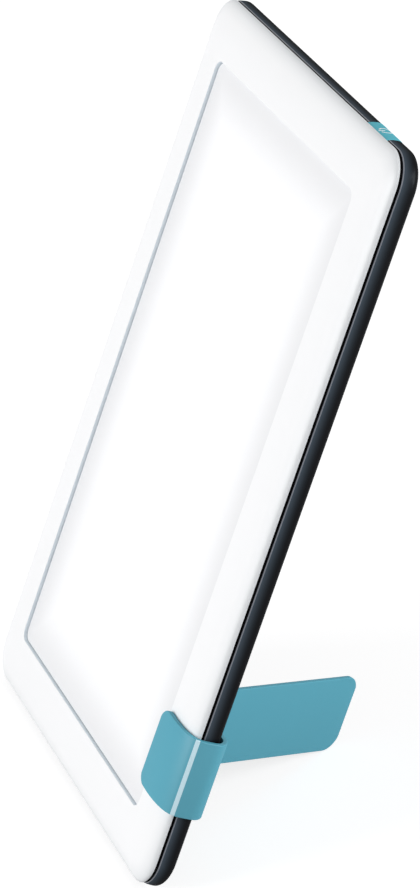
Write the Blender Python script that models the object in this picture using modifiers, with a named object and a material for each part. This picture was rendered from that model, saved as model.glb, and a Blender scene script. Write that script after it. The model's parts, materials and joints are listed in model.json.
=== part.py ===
"""Light therapy lamp: a slim panel light on a clip-on stand.

Metres, +Z up, the light facing -Y. The lamp is drawn upright in its own frame, where X runs across,
Z runs up and Y runs back from the seam between the white front and the dark housing. One empty then
leans it back until its foot strip and the leg of the stand rest on the floor. The origin is on the
floor, in the middle of the foot strip.
"""

import math

import bmesh
import bpy
import numpy as np
from mathutils import Matrix, Vector

MM = 0.001

# Clearances and mesh fineness that every piece shares
FIT_GAP = 0.3 * MM
CUT_OVERRUN = 1.0 * MM
MERGE_DISTANCE = 0.001 * MM
CORNER_STEPS = 8
EDGE_STEPS = 7
BEND_STEPS = 5
ROUND_SIDES = 24
SMALL_SIDES = 12
SHARP_ANGLE = math.radians(35.0)
BEVEL_ANGLE = math.radians(60.0)

# Body outline
BODY_WIDTH = 156.0 * MM
BODY_HEIGHT = 238.0 * MM
BODY_CORNER_RADIUS = 10.0 * MM
SEAM_WIDTH = 0.7 * MM

# White front shell
FRONT_RISE = 4.1 * MM
FRONT_EDGE_WIDTH = 14.0 * MM
FRONT_FLAT_CORNER_RADIUS = 3.0 * MM
FRONT_WALL = 1.8 * MM
FRONT_RIM_INSET = 0.3 * MM
FRONT_RIM_WALL = 1.5 * MM
WINDOW_SIDE_MARGIN = 18.1 * MM
WINDOW_TOP_MARGIN = 17.8 * MM
WINDOW_BOTTOM_MARGIN = 19.2 * MM
WINDOW_CORNER_RADIUS = 3.5 * MM
WINDOW_RECESS = 1.2 * MM

# Dark rear housing: the band round the edge, its seam step and its inner lip
BAND_DEPTH = 7.5 * MM
BAND_CROWN_SHARE = 0.52
REAR_EDGE_WIDTH = 6.4 * MM
REAR_FLAT_CORNER_RADIUS = 6.0 * MM
RIDGE_INSET = 0.5 * MM
RIDGE_CHAMFER = 0.3 * MM
LIP_WALL = 1.1 * MM
LIP_RISE = 0.2 * MM
REAR_WALL = 1.7 * MM

# Hump on the back that holds the control board
HUMP_WIDTH = 72.0 * MM
HUMP_HEIGHT = 80.0 * MM
HUMP_RISE = 11.1 * MM
HUMP_DRAFT = 2.0 * MM
HUMP_EDGE_RADIUS = 2.0 * MM
HUMP_CORNER_RADIUS = 9.0 * MM
HUMP_CENTRE_DROP = 10.0 * MM
HUMP_WALL = 1.8 * MM

# Backlight stack behind the window, front to back
DIFFUSER_FLANGE = 1.2 * MM
DIFFUSER_CORNER_RADIUS = 3.0 * MM
FILM_THICKNESS = 0.3 * MM
GUIDE_MARGIN = 1.3 * MM
GUIDE_THICKNESS = 2.8 * MM
TRAY_WALL = 0.8 * MM
LED_BOARD_THICKNESS = 1.2 * MM
LED_BOARD_END_GAP = 2.0 * MM
CHIP_DEPTH = 0.8 * MM
CHIP_HEIGHT = 1.4 * MM
CHIP_LENGTH = 3.0 * MM
CHIP_COUNT = 24
REST_PAD_RADIUS = 3.0 * MM
REST_PAD_INSET = 15.0 * MM

# Screws that hold the two halves of the case
CASE_POST_RADIUS = 3.2 * MM
CASE_BOSS_RADIUS = 2.6 * MM
CASE_BOSS_ROOT = 0.5 * MM
CASE_JOINT_HEIGHT = 2.4 * MM
CASE_SCREW_RADIUS = 1.1 * MM
CASE_SCREW_BITE = 3.2 * MM
CASE_HEAD_RADIUS = 2.2 * MM
CASE_HEAD_HEIGHT = 1.5 * MM
CASE_SINK_DEPTH = 2.2 * MM

# Control board in the hump
BOARD_WIDTH = 54.0 * MM
BOARD_THICKNESS = 1.6 * MM
BOARD_END_GAP = 1.2 * MM
BOARD_POST_RADIUS = 2.2 * MM
BOARD_POST_HEIGHT = 3.7 * MM
BOARD_POST_INSET = 4.0 * MM
BOARD_SCREW_RADIUS = 0.8 * MM
BOARD_SCREW_BITE = 2.4 * MM
BOARD_HEAD_RADIUS = 1.6 * MM
BOARD_HEAD_HEIGHT = 1.1 * MM
COIL_RADIUS = 5.0 * MM
COIL_WAIST_RADIUS = 4.2 * MM
COIL_HEIGHT = 4.4 * MM
COIL_FLANGE = 0.7 * MM
CAPACITOR_RADIUS = 2.6 * MM
CAPACITOR_HEIGHT = 4.5 * MM
CAPACITOR_PITCH = 7.5 * MM
DRIVER_CHIP_SIZE = 5.0 * MM
DRIVER_CHIP_HEIGHT = 1.0 * MM
LEAD_BLOCK_WIDTH = 6.0 * MM
LEAD_BLOCK_LENGTH = 8.0 * MM
LEAD_BLOCK_HEIGHT = 4.0 * MM
LEAD_BLOCK_SPACING = 1.5 * MM
LEAD_RADIUS = 0.4 * MM
LEAD_BEND = 3.0 * MM
LEAD_POINTS = 20

# Where things sit on the control board, from its middle at 0, 0 to its corner at 1, 1
COIL_PLACE_SHARES = (-0.42, 0.15)
CAPACITOR_PLACE_SHARES = (0.3, 0.4)
DRIVER_CHIP_PLACE_SHARES = (0.1, -0.3)
LED_BLOCK_PLACE_SHARES = (0.8, -0.35)

# Power inlet in the lower wall of the hump
JACK_WIDTH = 9.0 * MM
JACK_DEPTH = 9.5 * MM
JACK_LENGTH = 13.5 * MM
JACK_NOSE_RADIUS = 4.0 * MM
JACK_BORE_RADIUS = 3.1 * MM
JACK_BORE_DEPTH = 9.5 * MM
JACK_PIN_RADIUS = 1.05 * MM
JACK_PIN_SETBACK = 1.0 * MM

# Power button in the top edge, and the switch behind it
BUTTON_FROM_SIDE = 25.5 * MM
BUTTON_LENGTH = 15.3 * MM
BUTTON_DEPTH = 5.7 * MM
BUTTON_PROUD = 0.1 * MM
BUTTON_FLANGE_REACH = 1.0 * MM
BUTTON_FLANGE_THICKNESS = 1.0 * MM
BUTTON_FLANGE_SETBACK = 0.9 * MM
BUTTON_STEM_WIDTH = 6.0 * MM
BUTTON_STEM_DEPTH = 3.0 * MM
BUTTON_STEM_DROP = 1.4 * MM
SWITCH_WIDTH = 6.0 * MM
SWITCH_DEPTH = 3.6 * MM
SWITCH_HEIGHT = 4.0 * MM
PLUNGER_RADIUS = 1.0 * MM
PLUNGER_PROUD = 1.4 * MM
PLUNGER_SUNK = 1.0 * MM
PLUNGER_ROOM = 1.2 * MM
SWITCH_BOARD_LENGTH = 18.0 * MM

# Clip-on stand, one strip folded round the right edge
STRIP_WIDTH = 26.0 * MM
STRIP_THICKNESS = 1.6 * MM
STRIP_FROM_BOTTOM = 27.3 * MM
STRIP_FRONT_RISE = 1.1 * MM
STRIP_CLIP_DROP = 0.9 * MM
STRIP_TONGUE_REACH = 19.3 * MM
STRIP_FOLD_ANGLE = math.radians(80.0)
STRIP_BACK_RADIUS = 4.0 * MM
STRIP_TIP_UPPER_RADIUS = 4.5 * MM
STRIP_TIP_LOWER_RADIUS = 3.5 * MM
STRIP_EDGE_BEVEL = 0.25 * MM
LEG_FROM_SIDE = 33.1 * MM
LEG_FOLD_RADIUS = 2.8 * MM
LEG_LENGTH = 80.5 * MM
LEG_SLANT = math.radians(27.5)
LEG_END_UPPER_RADIUS = 5.0 * MM
LEG_END_LOWER_RADIUS = 6.0 * MM

# Rubber foot strip under the lower edge
FOOT_LENGTH = 90.0 * MM
FOOT_WIDTH = 4.4 * MM
FOOT_PROUD = 0.8 * MM
FOOT_SEAT_DEPTH = 1.0 * MM

# Places worked out from the sizes above
HALF_WIDTH = BODY_WIDTH / 2
HALF_HEIGHT = BODY_HEIGHT / 2
SEAM_FRONT = -SEAM_WIDTH / 2
SEAM_REAR = SEAM_WIDTH / 2
FRONT_FACE = -FRONT_RISE
FRONT_INNER = FRONT_FACE + FRONT_WALL
REAR_INNER = BAND_DEPTH - REAR_WALL
BAND_CROWN = BAND_DEPTH * BAND_CROWN_SHARE
RIDGE_DEPTH = SEAM_REAR + RIDGE_CHAMFER
FRONT_RIM_INNER = FRONT_RIM_INSET + FRONT_RIM_WALL
LIP_OUTER_INSET = FRONT_RIM_INNER + FIT_GAP
LIP_INNER_INSET = LIP_OUTER_INSET + LIP_WALL
CASE_INNER_WIDTH = HALF_WIDTH - LIP_INNER_INSET
CASE_INNER_HEIGHT = HALF_HEIGHT - LIP_INNER_INSET

WINDOW_HALF_WIDTH = HALF_WIDTH - WINDOW_SIDE_MARGIN
WINDOW_HALF_HEIGHT = (BODY_HEIGHT - WINDOW_TOP_MARGIN - WINDOW_BOTTOM_MARGIN) / 2
WINDOW_CENTRE = (WINDOW_BOTTOM_MARGIN - WINDOW_TOP_MARGIN) / 2
WINDOW_FLOOR = FRONT_FACE + WINDOW_RECESS

DIFFUSER_FRONT = FRONT_INNER + FIT_GAP
DIFFUSER_REAR = DIFFUSER_FRONT + DIFFUSER_FLANGE
FILM_FRONT = DIFFUSER_REAR + FIT_GAP
GUIDE_FRONT = FILM_FRONT + FILM_THICKNESS + FIT_GAP
GUIDE_REAR = GUIDE_FRONT + GUIDE_THICKNESS
REFLECTOR_FRONT = GUIDE_REAR + FIT_GAP
TRAY_FLOOR = REFLECTOR_FRONT + FILM_THICKNESS + FIT_GAP
TRAY_REAR = TRAY_FLOOR + TRAY_WALL
GUIDE_HALF_WIDTH = WINDOW_HALF_WIDTH + GUIDE_MARGIN
GUIDE_HALF_HEIGHT = WINDOW_HALF_HEIGHT + GUIDE_MARGIN
CHIP_INNER = GUIDE_HALF_WIDTH + FIT_GAP
LED_BOARD_INNER = CHIP_INNER + CHIP_DEPTH
LED_BOARD_OUTER = LED_BOARD_INNER + LED_BOARD_THICKNESS
TRAY_HALF_WIDTH = LED_BOARD_OUTER + FIT_GAP + TRAY_WALL
TRAY_HALF_HEIGHT = GUIDE_HALF_HEIGHT + FIT_GAP + TRAY_WALL
TRAY_TOP = WINDOW_CENTRE + TRAY_HALF_HEIGHT
TRAY_BOTTOM = WINDOW_CENTRE - TRAY_HALF_HEIGHT
REST_PAD_SIDE = TRAY_HALF_WIDTH - REST_PAD_INSET
REST_PAD_TOP = TRAY_TOP - REST_PAD_INSET

HUMP_CENTRE = -HUMP_CENTRE_DROP
HUMP_BACK = BAND_DEPTH + HUMP_RISE
HUMP_INNER_BACK = HUMP_BACK - HUMP_WALL
HUMP_INNER_TOP = HUMP_CENTRE + HUMP_HEIGHT / 2 - HUMP_WALL - HUMP_DRAFT
HUMP_INNER_BOTTOM = HUMP_CENTRE - HUMP_HEIGHT / 2 + HUMP_WALL + HUMP_DRAFT
JACK_REAR = HUMP_INNER_BACK - FIT_GAP
JACK_CENTRE = JACK_REAR - JACK_DEPTH / 2
JACK_BOTTOM = HUMP_INNER_BOTTOM + FIT_GAP
JACK_TOP = JACK_BOTTOM + JACK_LENGTH
JACK_MOUTH = HUMP_CENTRE - HUMP_HEIGHT / 2 + HUMP_DRAFT
BOARD_REAR = HUMP_INNER_BACK - BOARD_POST_HEIGHT - FIT_GAP
BOARD_FRONT = BOARD_REAR - BOARD_THICKNESS
BOARD_BOTTOM = JACK_TOP + BOARD_END_GAP
BOARD_TOP = HUMP_INNER_TOP - BOARD_END_GAP
PART_BASE = BOARD_FRONT - FIT_GAP

BUTTON_CENTRE = HALF_WIDTH - BUTTON_FROM_SIDE
BUTTON_FRONT = SEAM_FRONT + FIT_GAP
BUTTON_REAR = BUTTON_FRONT + BUTTON_DEPTH
BUTTON_FLANGE_TOP = CASE_INNER_HEIGHT - FIT_GAP
BUTTON_FLANGE_BOTTOM = BUTTON_FLANGE_TOP - BUTTON_FLANGE_THICKNESS
BUTTON_STEM_BOTTOM = BUTTON_FLANGE_BOTTOM - BUTTON_STEM_DROP
PLUNGER_TOP = BUTTON_STEM_BOTTOM - FIT_GAP
SWITCH_TOP = PLUNGER_TOP - PLUNGER_PROUD
SWITCH_BOTTOM = SWITCH_TOP - SWITCH_HEIGHT
SWITCH_BOARD_REAR = REAR_INNER - FIT_GAP
SWITCH_BOARD_FRONT = SWITCH_BOARD_REAR - BOARD_THICKNESS
SWITCH_REAR = SWITCH_BOARD_FRONT - FIT_GAP
SWITCH_CENTRE = SWITCH_REAR - SWITCH_DEPTH / 2
SWITCH_BOARD_BOTTOM = TRAY_TOP + FIT_GAP + LEAD_RADIUS

STRIP_BOTTOM = STRIP_FROM_BOTTOM - HALF_HEIGHT
STRIP_TOP = STRIP_BOTTOM + STRIP_WIDTH
STRIP_SIDE = HALF_WIDTH + FIT_GAP
STRIP_REAR = BAND_DEPTH + FIT_GAP
LEAD_RUN = (TRAY_REAR + REAR_INNER) / 2


def clear_scene():
    """Remove every object, so that the lamp starts in an empty scene."""
    for old in list(bpy.data.objects):
        bpy.data.objects.remove(old, do_unlink=True)


def new_collection(name):
    """A collection linked to the scene."""
    collection = bpy.data.collections.new(name)
    bpy.context.scene.collection.children.link(collection)
    return collection


clear_scene()
LAMP = new_collection("light_therapy_lamp")
CUTTERS = new_collection("cutters")


def finish(name, colour, roughness, metallic=0.0, transmission=0.0):
    """A Principled material with a plain colour."""
    material = bpy.data.materials.new(name)
    material.use_nodes = True
    shader = material.node_tree.nodes["Principled BSDF"]
    shader.inputs["Base Color"].default_value = (*colour, 1.0)
    shader.inputs["Roughness"].default_value = roughness
    shader.inputs["Metallic"].default_value = metallic
    shader.inputs["Transmission Weight"].default_value = transmission
    return material


def new_empty(name, location, parent=None):
    """An empty that carries pieces and isn't a piece itself."""
    empty = bpy.data.objects.new(name, None)
    empty.location = location
    empty.parent = parent
    LAMP.objects.link(empty)
    return empty


def add_piece(name, mesh, material, parent, place=(0.0, 0.0, 0.0), axis=(0.0, 0.0, 1.0)):
    """Put a mesh into the lamp at a place on the upright lamp, with its own Z along an axis."""
    piece = bpy.data.objects.new(name, mesh)
    if not mesh.materials:
        mesh.materials.append(material)
    LAMP.objects.link(piece)
    piece.parent = parent
    piece.location = Vector(place) - carried_from(parent)
    piece.rotation_euler = turn_to(axis).to_euler()
    return piece


def carried_from(parent):
    """Where on the upright lamp a carrier's own zero lies."""
    if parent is None or parent.parent is None:
        return Vector()
    return parent.location


def add_cutter(name, mesh, parent):
    """A hidden tool for a Boolean modifier."""
    cutter = bpy.data.objects.new(name, mesh)
    CUTTERS.objects.link(cutter)
    cutter.parent = parent
    cutter.location = -carried_from(parent)
    cutter.hide_render = True
    cutter.display_type = 'WIRE'
    return cutter


def combine(piece, tool, operation):
    """Cut a tool from a piece, or join it on."""
    step = piece.modifiers.new(tool.name, 'BOOLEAN')
    step.object = tool
    step.operation = operation
    step.solver = 'EXACT'


def bevel_edges(piece, width, segments=2):
    """Round the sharp edges of a piece."""
    step = piece.modifiers.new("round_edges", 'BEVEL')
    step.width = width
    step.segments = segments
    step.limit_method = 'ANGLE'
    step.angle_limit = BEVEL_ANGLE


def mesh_from(name, bm):
    """Close a bmesh off as a mesh whose faces point out."""
    bmesh.ops.recalc_face_normals(bm, faces=bm.faces)
    mesh = bpy.data.meshes.new(name)
    bm.to_mesh(mesh)
    bm.free()
    return mesh


def smooth(mesh):
    """Shade a round piece smooth and keep its corners sharp."""
    mesh.shade_smooth()
    mesh.set_sharp_from_angle(angle=SHARP_ANGLE)
    return mesh


def add_box(bm, low, high):
    """A box between two corners."""
    low = Vector(low)
    high = Vector(high)
    size = high - low
    place = Matrix.Translation((low + high) / 2) @ Matrix.Diagonal((*size, 1.0))
    bmesh.ops.create_cube(bm, size=1.0, matrix=place)


def box_mesh(name, low, high):
    """A mesh of one box."""
    bm = bmesh.new()
    add_box(bm, low, high)
    return mesh_from(name, bm)


def turn_to(axis):
    """The turn that carries +Z onto an axis."""
    return Vector((0.0, 0.0, 1.0)).rotation_difference(Vector(axis)).to_matrix().to_4x4()


def add_cylinder(bm, start, end, radius, sides=ROUND_SIDES):
    """A capped cylinder between two points."""
    start = Vector(start)
    end = Vector(end)
    place = Matrix.Translation((start + end) / 2) @ turn_to(end - start)
    bmesh.ops.create_cone(bm, cap_ends=True, segments=sides, radius1=radius, radius2=radius,
                          depth=(end - start).length, matrix=place)


def turned_mesh(name, profile, sides=ROUND_SIDES):
    """A mesh turned round Z, from a profile that starts and ends on the axis."""
    bm = bmesh.new()
    verts = [bm.verts.new((radius, 0.0, height)) for radius, height in profile]
    edges = [bm.edges.new(pair) for pair in zip(verts, verts[1:])]
    bmesh.ops.spin(bm, geom=verts + edges, cent=(0.0, 0.0, 0.0), axis=(0.0, 0.0, 1.0),
                   angle=math.tau, steps=sides)
    bmesh.ops.remove_doubles(bm, verts=bm.verts, dist=MERGE_DISTANCE)
    return smooth(mesh_from(name, bm))


def rounded_ring(half_width, half_height, radius, depth, centre=0.0):
    """The corners and arcs of a rounded rectangle that faces -Y, as points at one depth."""
    turns = np.linspace(0.0, math.pi / 2, CORNER_STEPS + 1)
    ring = []
    for corner, (side, end) in enumerate(((1, 1), (-1, 1), (-1, -1), (1, -1))):
        angles = turns + corner * math.pi / 2
        across = side * (half_width - radius) + radius * np.cos(angles)
        up = centre + end * (half_height - radius) + radius * np.sin(angles)
        ring += [Vector((x, depth, z)) for x, z in zip(across, up)]
    return ring


def add_loft(bm, rings):
    """Skin a row of rings that have the same number of points, and cap both ends."""
    rows = [[bm.verts.new(point) for point in ring] for ring in rings]
    for row, after in zip(rows, rows[1:]):
        for index in range(len(row)):
            before = index - 1
            bm.faces.new((row[before], row[index], after[index], after[before]))
    bm.faces.new(rows[0])
    bm.faces.new(rows[-1])


def loft_mesh(name, rings):
    """A mesh of one loft."""
    bm = bmesh.new()
    add_loft(bm, rings)
    return mesh_from(name, bm)


def slab_mesh(name, half_width, half_height, radius, front, rear, centre=0.0):
    """A flat plate with rounded corners, between two depths."""
    rings = [rounded_ring(half_width, half_height, radius, depth, centre) for depth in (front, rear)]
    return loft_mesh(name, rings)


def body_ring(inset, depth, flat_radius, flat_inset):
    """A ring inside the body's outline, whose corners tighten from the outline's to the flat's."""
    radius = BODY_CORNER_RADIUS - (BODY_CORNER_RADIUS - flat_radius) * inset / flat_inset
    return rounded_ring(HALF_WIDTH - inset, HALF_HEIGHT - inset, radius, depth)


def front_curve(turn, rim_inset, face):
    """Inset and depth on the quarter ellipse from a front face, at 0, to the rim, at a right angle."""
    inset = FRONT_EDGE_WIDTH - (FRONT_EDGE_WIDTH - rim_inset) * math.sin(turn)
    depth = SEAM_FRONT + (face - SEAM_FRONT) * math.cos(turn)
    return inset, depth


def front_ring(turn, rim_inset, face):
    """The front shell's ring at one place on its curved edge."""
    inset, depth = front_curve(turn, rim_inset, face)
    return body_ring(inset, depth, FRONT_FLAT_CORNER_RADIUS, FRONT_EDGE_WIDTH)


def rear_curve(turn):
    """Inset and depth on the quarter ellipse from the band's crown, at 0, to the flat back."""
    inset = REAR_EDGE_WIDTH * (1.0 - math.cos(turn))
    depth = BAND_CROWN + (BAND_DEPTH - BAND_CROWN) * math.sin(turn)
    return inset, depth


def band_inset(depth):
    """How far the band lies inside the body's outline at a depth: it swells from its ridge to its crown."""
    if depth < BAND_CROWN:
        return RIDGE_INSET * ((BAND_CROWN - depth) / (BAND_CROWN - RIDGE_DEPTH)) ** 2
    share = (depth - BAND_CROWN) / (BAND_DEPTH - BAND_CROWN)
    return REAR_EDGE_WIDTH * (1.0 - math.sqrt(1.0 - share ** 2))


def rear_ring(inset, depth):
    """A ring of the rear housing."""
    return body_ring(inset, depth, REAR_FLAT_CORNER_RADIUS, REAR_EDGE_WIDTH)


def case_screw_places():
    """The places of the case screws: three along each long side, one above and one below."""
    side = (TRAY_HALF_WIDTH + CASE_INNER_WIDTH) / 2
    end = HALF_HEIGHT - BODY_CORNER_RADIUS
    places = [(across, up) for across in (-side, side) for up in (-end, 0.0, end)]
    places.append((0.0, (TRAY_TOP + CASE_INNER_HEIGHT) / 2))
    places.append((0.0, (TRAY_BOTTOM - CASE_INNER_HEIGHT) / 2))
    return places


def board_post_places():
    """The places of the four posts under the control board."""
    side = BOARD_WIDTH / 2 - BOARD_POST_INSET
    low = BOARD_BOTTOM + BOARD_POST_INSET
    high = BOARD_TOP - BOARD_POST_INSET
    return [(across, up) for across in (-side, side) for up in (low, high)]


def screw_profile(head_radius, head_height, shank_radius, shank_length):
    """A pan-head screw from the tip of its shank, at 0, to the top of its head."""
    chamfer = shank_radius / 2
    head_round = head_height / 3
    top = shank_length + head_height
    return [(0.0, 0.0), (shank_radius - chamfer, 0.0), (shank_radius, chamfer),
            (shank_radius, shank_length), (head_radius, shank_length), (head_radius, top - head_round),
            (head_radius - head_round, top), (0.0, top)]


def make_front_shell(carrier, material):
    """White front: a domed dish with a window, and a boss behind it for each case screw."""
    turns = np.linspace(0.0, math.pi / 2, EDGE_STEPS + 1)
    rings = [front_ring(turn, FRONT_RIM_INSET, FRONT_FACE) for turn in turns]
    rings += [front_ring(turn, FRONT_RIM_INNER, FRONT_INNER) for turn in turns[::-1]]
    shell = add_piece("front_shell", smooth(loft_mesh("front_shell", rings)), material, carrier)

    bosses = bmesh.new()
    bores = bmesh.new()
    for across, up in case_screw_places():
        root = (across, FRONT_INNER - CASE_BOSS_ROOT, up)
        top = (across, CASE_JOINT_HEIGHT, up)
        add_cylinder(bosses, root, top, CASE_BOSS_RADIUS, SMALL_SIDES)
        floor = (across, CASE_JOINT_HEIGHT - CASE_SCREW_BITE - FIT_GAP, up)
        mouth = (across, CASE_JOINT_HEIGHT + CUT_OVERRUN, up)
        add_cylinder(bores, floor, mouth, CASE_SCREW_RADIUS + FIT_GAP, SMALL_SIDES)
    combine(shell, add_cutter("case_bosses", mesh_from("case_bosses", bosses), carrier), 'UNION')
    combine(shell, add_cutter("case_boss_bores", mesh_from("case_boss_bores", bores), carrier),
            'DIFFERENCE')

    window = slab_mesh("window_cut", WINDOW_HALF_WIDTH, WINDOW_HALF_HEIGHT, WINDOW_CORNER_RADIUS,
                       FRONT_FACE - CUT_OVERRUN, FRONT_INNER + CUT_OVERRUN, WINDOW_CENTRE)
    combine(shell, add_cutter("window_cut", window, carrier), 'DIFFERENCE')
    return shell


def hump_rings(shrink, base, back):
    """Rings of the hump's outside, or of its hollow when the walls shrink it."""
    half_width = HUMP_WIDTH / 2 - shrink
    half_height = HUMP_HEIGHT / 2 - shrink
    radius = HUMP_CORNER_RADIUS - shrink
    rounding = HUMP_EDGE_RADIUS * (HUMP_CORNER_RADIUS - shrink) / HUMP_CORNER_RADIUS
    shoulder = back - rounding
    slope = HUMP_DRAFT / HUMP_RISE
    rings = [rounded_ring(half_width, half_height, radius, base, HUMP_CENTRE)]
    for turn in np.linspace(0.0, math.pi / 2, 4):
        inset = (shoulder - BAND_DEPTH) * slope + rounding * (1.0 - math.cos(turn))
        depth = shoulder + rounding * math.sin(turn)
        rings.append(rounded_ring(half_width - inset, half_height - inset, radius - inset, depth,
                                  HUMP_CENTRE))
    return rings


def button_profile(proud):
    """The band's outline at the top edge from the seam back, as (depth, height), standing proud of it."""
    depths = np.linspace(BUTTON_FRONT, BUTTON_REAR, 2 * EDGE_STEPS)
    return [(depth, HALF_HEIGHT - band_inset(depth) + proud) for depth in depths]


def make_rear_housing(carrier, material):
    """Dark rear half: a dish with a rounded band, a seam lip, a hump, posts, pads and its openings."""
    turns = np.linspace(math.pi / 2, 0.0, EDGE_STEPS + 1)
    rings = [rear_ring(*rear_curve(turn)) for turn in turns]
    rings += [rear_ring(band_inset(depth), depth)
              for depth in np.linspace(BAND_CROWN, RIDGE_DEPTH, BEND_STEPS)[1:]]
    rings.append(rear_ring(RIDGE_INSET + RIDGE_CHAMFER, SEAM_REAR))
    rings.append(rear_ring(LIP_OUTER_INSET, SEAM_REAR))
    rings.append(rear_ring(LIP_OUTER_INSET, SEAM_FRONT - LIP_RISE))
    rings.append(rear_ring(LIP_INNER_INSET, SEAM_FRONT - LIP_RISE))
    rings.append(rear_ring(LIP_INNER_INSET, REAR_INNER))
    housing = add_piece("rear_housing", smooth(loft_mesh("rear_housing", rings)), material, carrier)

    hump = loft_mesh("hump", hump_rings(0.0, BAND_DEPTH - REAR_WALL / 2, HUMP_BACK))
    combine(housing, add_cutter("hump", hump, carrier), 'UNION')
    hollow = loft_mesh("hump_hollow", hump_rings(HUMP_WALL, REAR_INNER - CUT_OVERRUN, HUMP_INNER_BACK))
    combine(housing, add_cutter("hump_hollow", hollow, carrier), 'DIFFERENCE')

    posts = bmesh.new()
    sinks = bmesh.new()
    holes = bmesh.new()
    embed = REAR_WALL / 2
    for across, up in case_screw_places():
        add_cylinder(posts, (across, CASE_JOINT_HEIGHT + FIT_GAP, up), (across, REAR_INNER + embed, up),
                     CASE_POST_RADIUS, SMALL_SIDES)
        add_cylinder(sinks, (across, BAND_DEPTH - CASE_SINK_DEPTH, up),
                     (across, BAND_DEPTH + CUT_OVERRUN, up), CASE_HEAD_RADIUS + FIT_GAP, SMALL_SIDES)
        add_cylinder(holes, (across, CASE_JOINT_HEIGHT - CUT_OVERRUN, up), (across, BAND_DEPTH, up),
                     CASE_SCREW_RADIUS + FIT_GAP, SMALL_SIDES)
    for across, up in board_post_places():
        add_cylinder(posts, (across, HUMP_INNER_BACK - BOARD_POST_HEIGHT, up),
                     (across, HUMP_INNER_BACK + embed, up), BOARD_POST_RADIUS, SMALL_SIDES)
        add_cylinder(holes, (across, BOARD_REAR - CUT_OVERRUN, up),
                     (across, BOARD_REAR + BOARD_SCREW_BITE, up), BOARD_SCREW_RADIUS + FIT_GAP, SMALL_SIDES)
    for across, up in rest_pad_places():
        add_cylinder(posts, (across, TRAY_REAR + FIT_GAP, up), (across, REAR_INNER + embed, up),
                     REST_PAD_RADIUS, SMALL_SIDES)
    combine(housing, add_cutter("housing_posts", mesh_from("housing_posts", posts), carrier), 'UNION')
    combine(housing, add_cutter("screw_sinks", mesh_from("screw_sinks", sinks), carrier), 'DIFFERENCE')
    combine(housing, add_cutter("screw_holes", mesh_from("screw_holes", holes), carrier), 'DIFFERENCE')

    openings = bmesh.new()
    half = BUTTON_LENGTH / 2 + FIT_GAP
    lip_front = SEAM_FRONT - LIP_RISE
    add_box(openings, (BUTTON_CENTRE - half, lip_front - CUT_OVERRUN, CASE_INNER_HEIGHT - CUT_OVERRUN),
            (BUTTON_CENTRE + half, BUTTON_REAR + FIT_GAP, HALF_HEIGHT + CUT_OVERRUN))
    add_cylinder(openings, (0.0, JACK_CENTRE, JACK_MOUTH - HUMP_DRAFT - CUT_OVERRUN),
                 (0.0, JACK_CENTRE, HUMP_INNER_BOTTOM + CUT_OVERRUN), JACK_NOSE_RADIUS + FIT_GAP)
    combine(housing, add_cutter("wall_openings", mesh_from("wall_openings", openings), carrier),
            'DIFFERENCE')

    half_length = FOOT_LENGTH / 2 + FIT_GAP
    half_width = FOOT_WIDTH / 2 + FIT_GAP
    seat = box_mesh("foot_seat", (-half_length, -half_width, -CUT_OVERRUN),
                    (half_length, half_width, FOOT_PROUD + FOOT_SEAT_DEPTH + FIT_GAP))
    combine(housing, add_cutter("foot_seat", seat, None), 'DIFFERENCE')
    return housing


def rest_pad_places():
    """The places of the six pads that the backlight tray rests on."""
    heights = (TRAY_BOTTOM + REST_PAD_INSET, WINDOW_CENTRE, REST_PAD_TOP)
    return [(across, up) for across in (-REST_PAD_SIDE, REST_PAD_SIDE) for up in heights]


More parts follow.
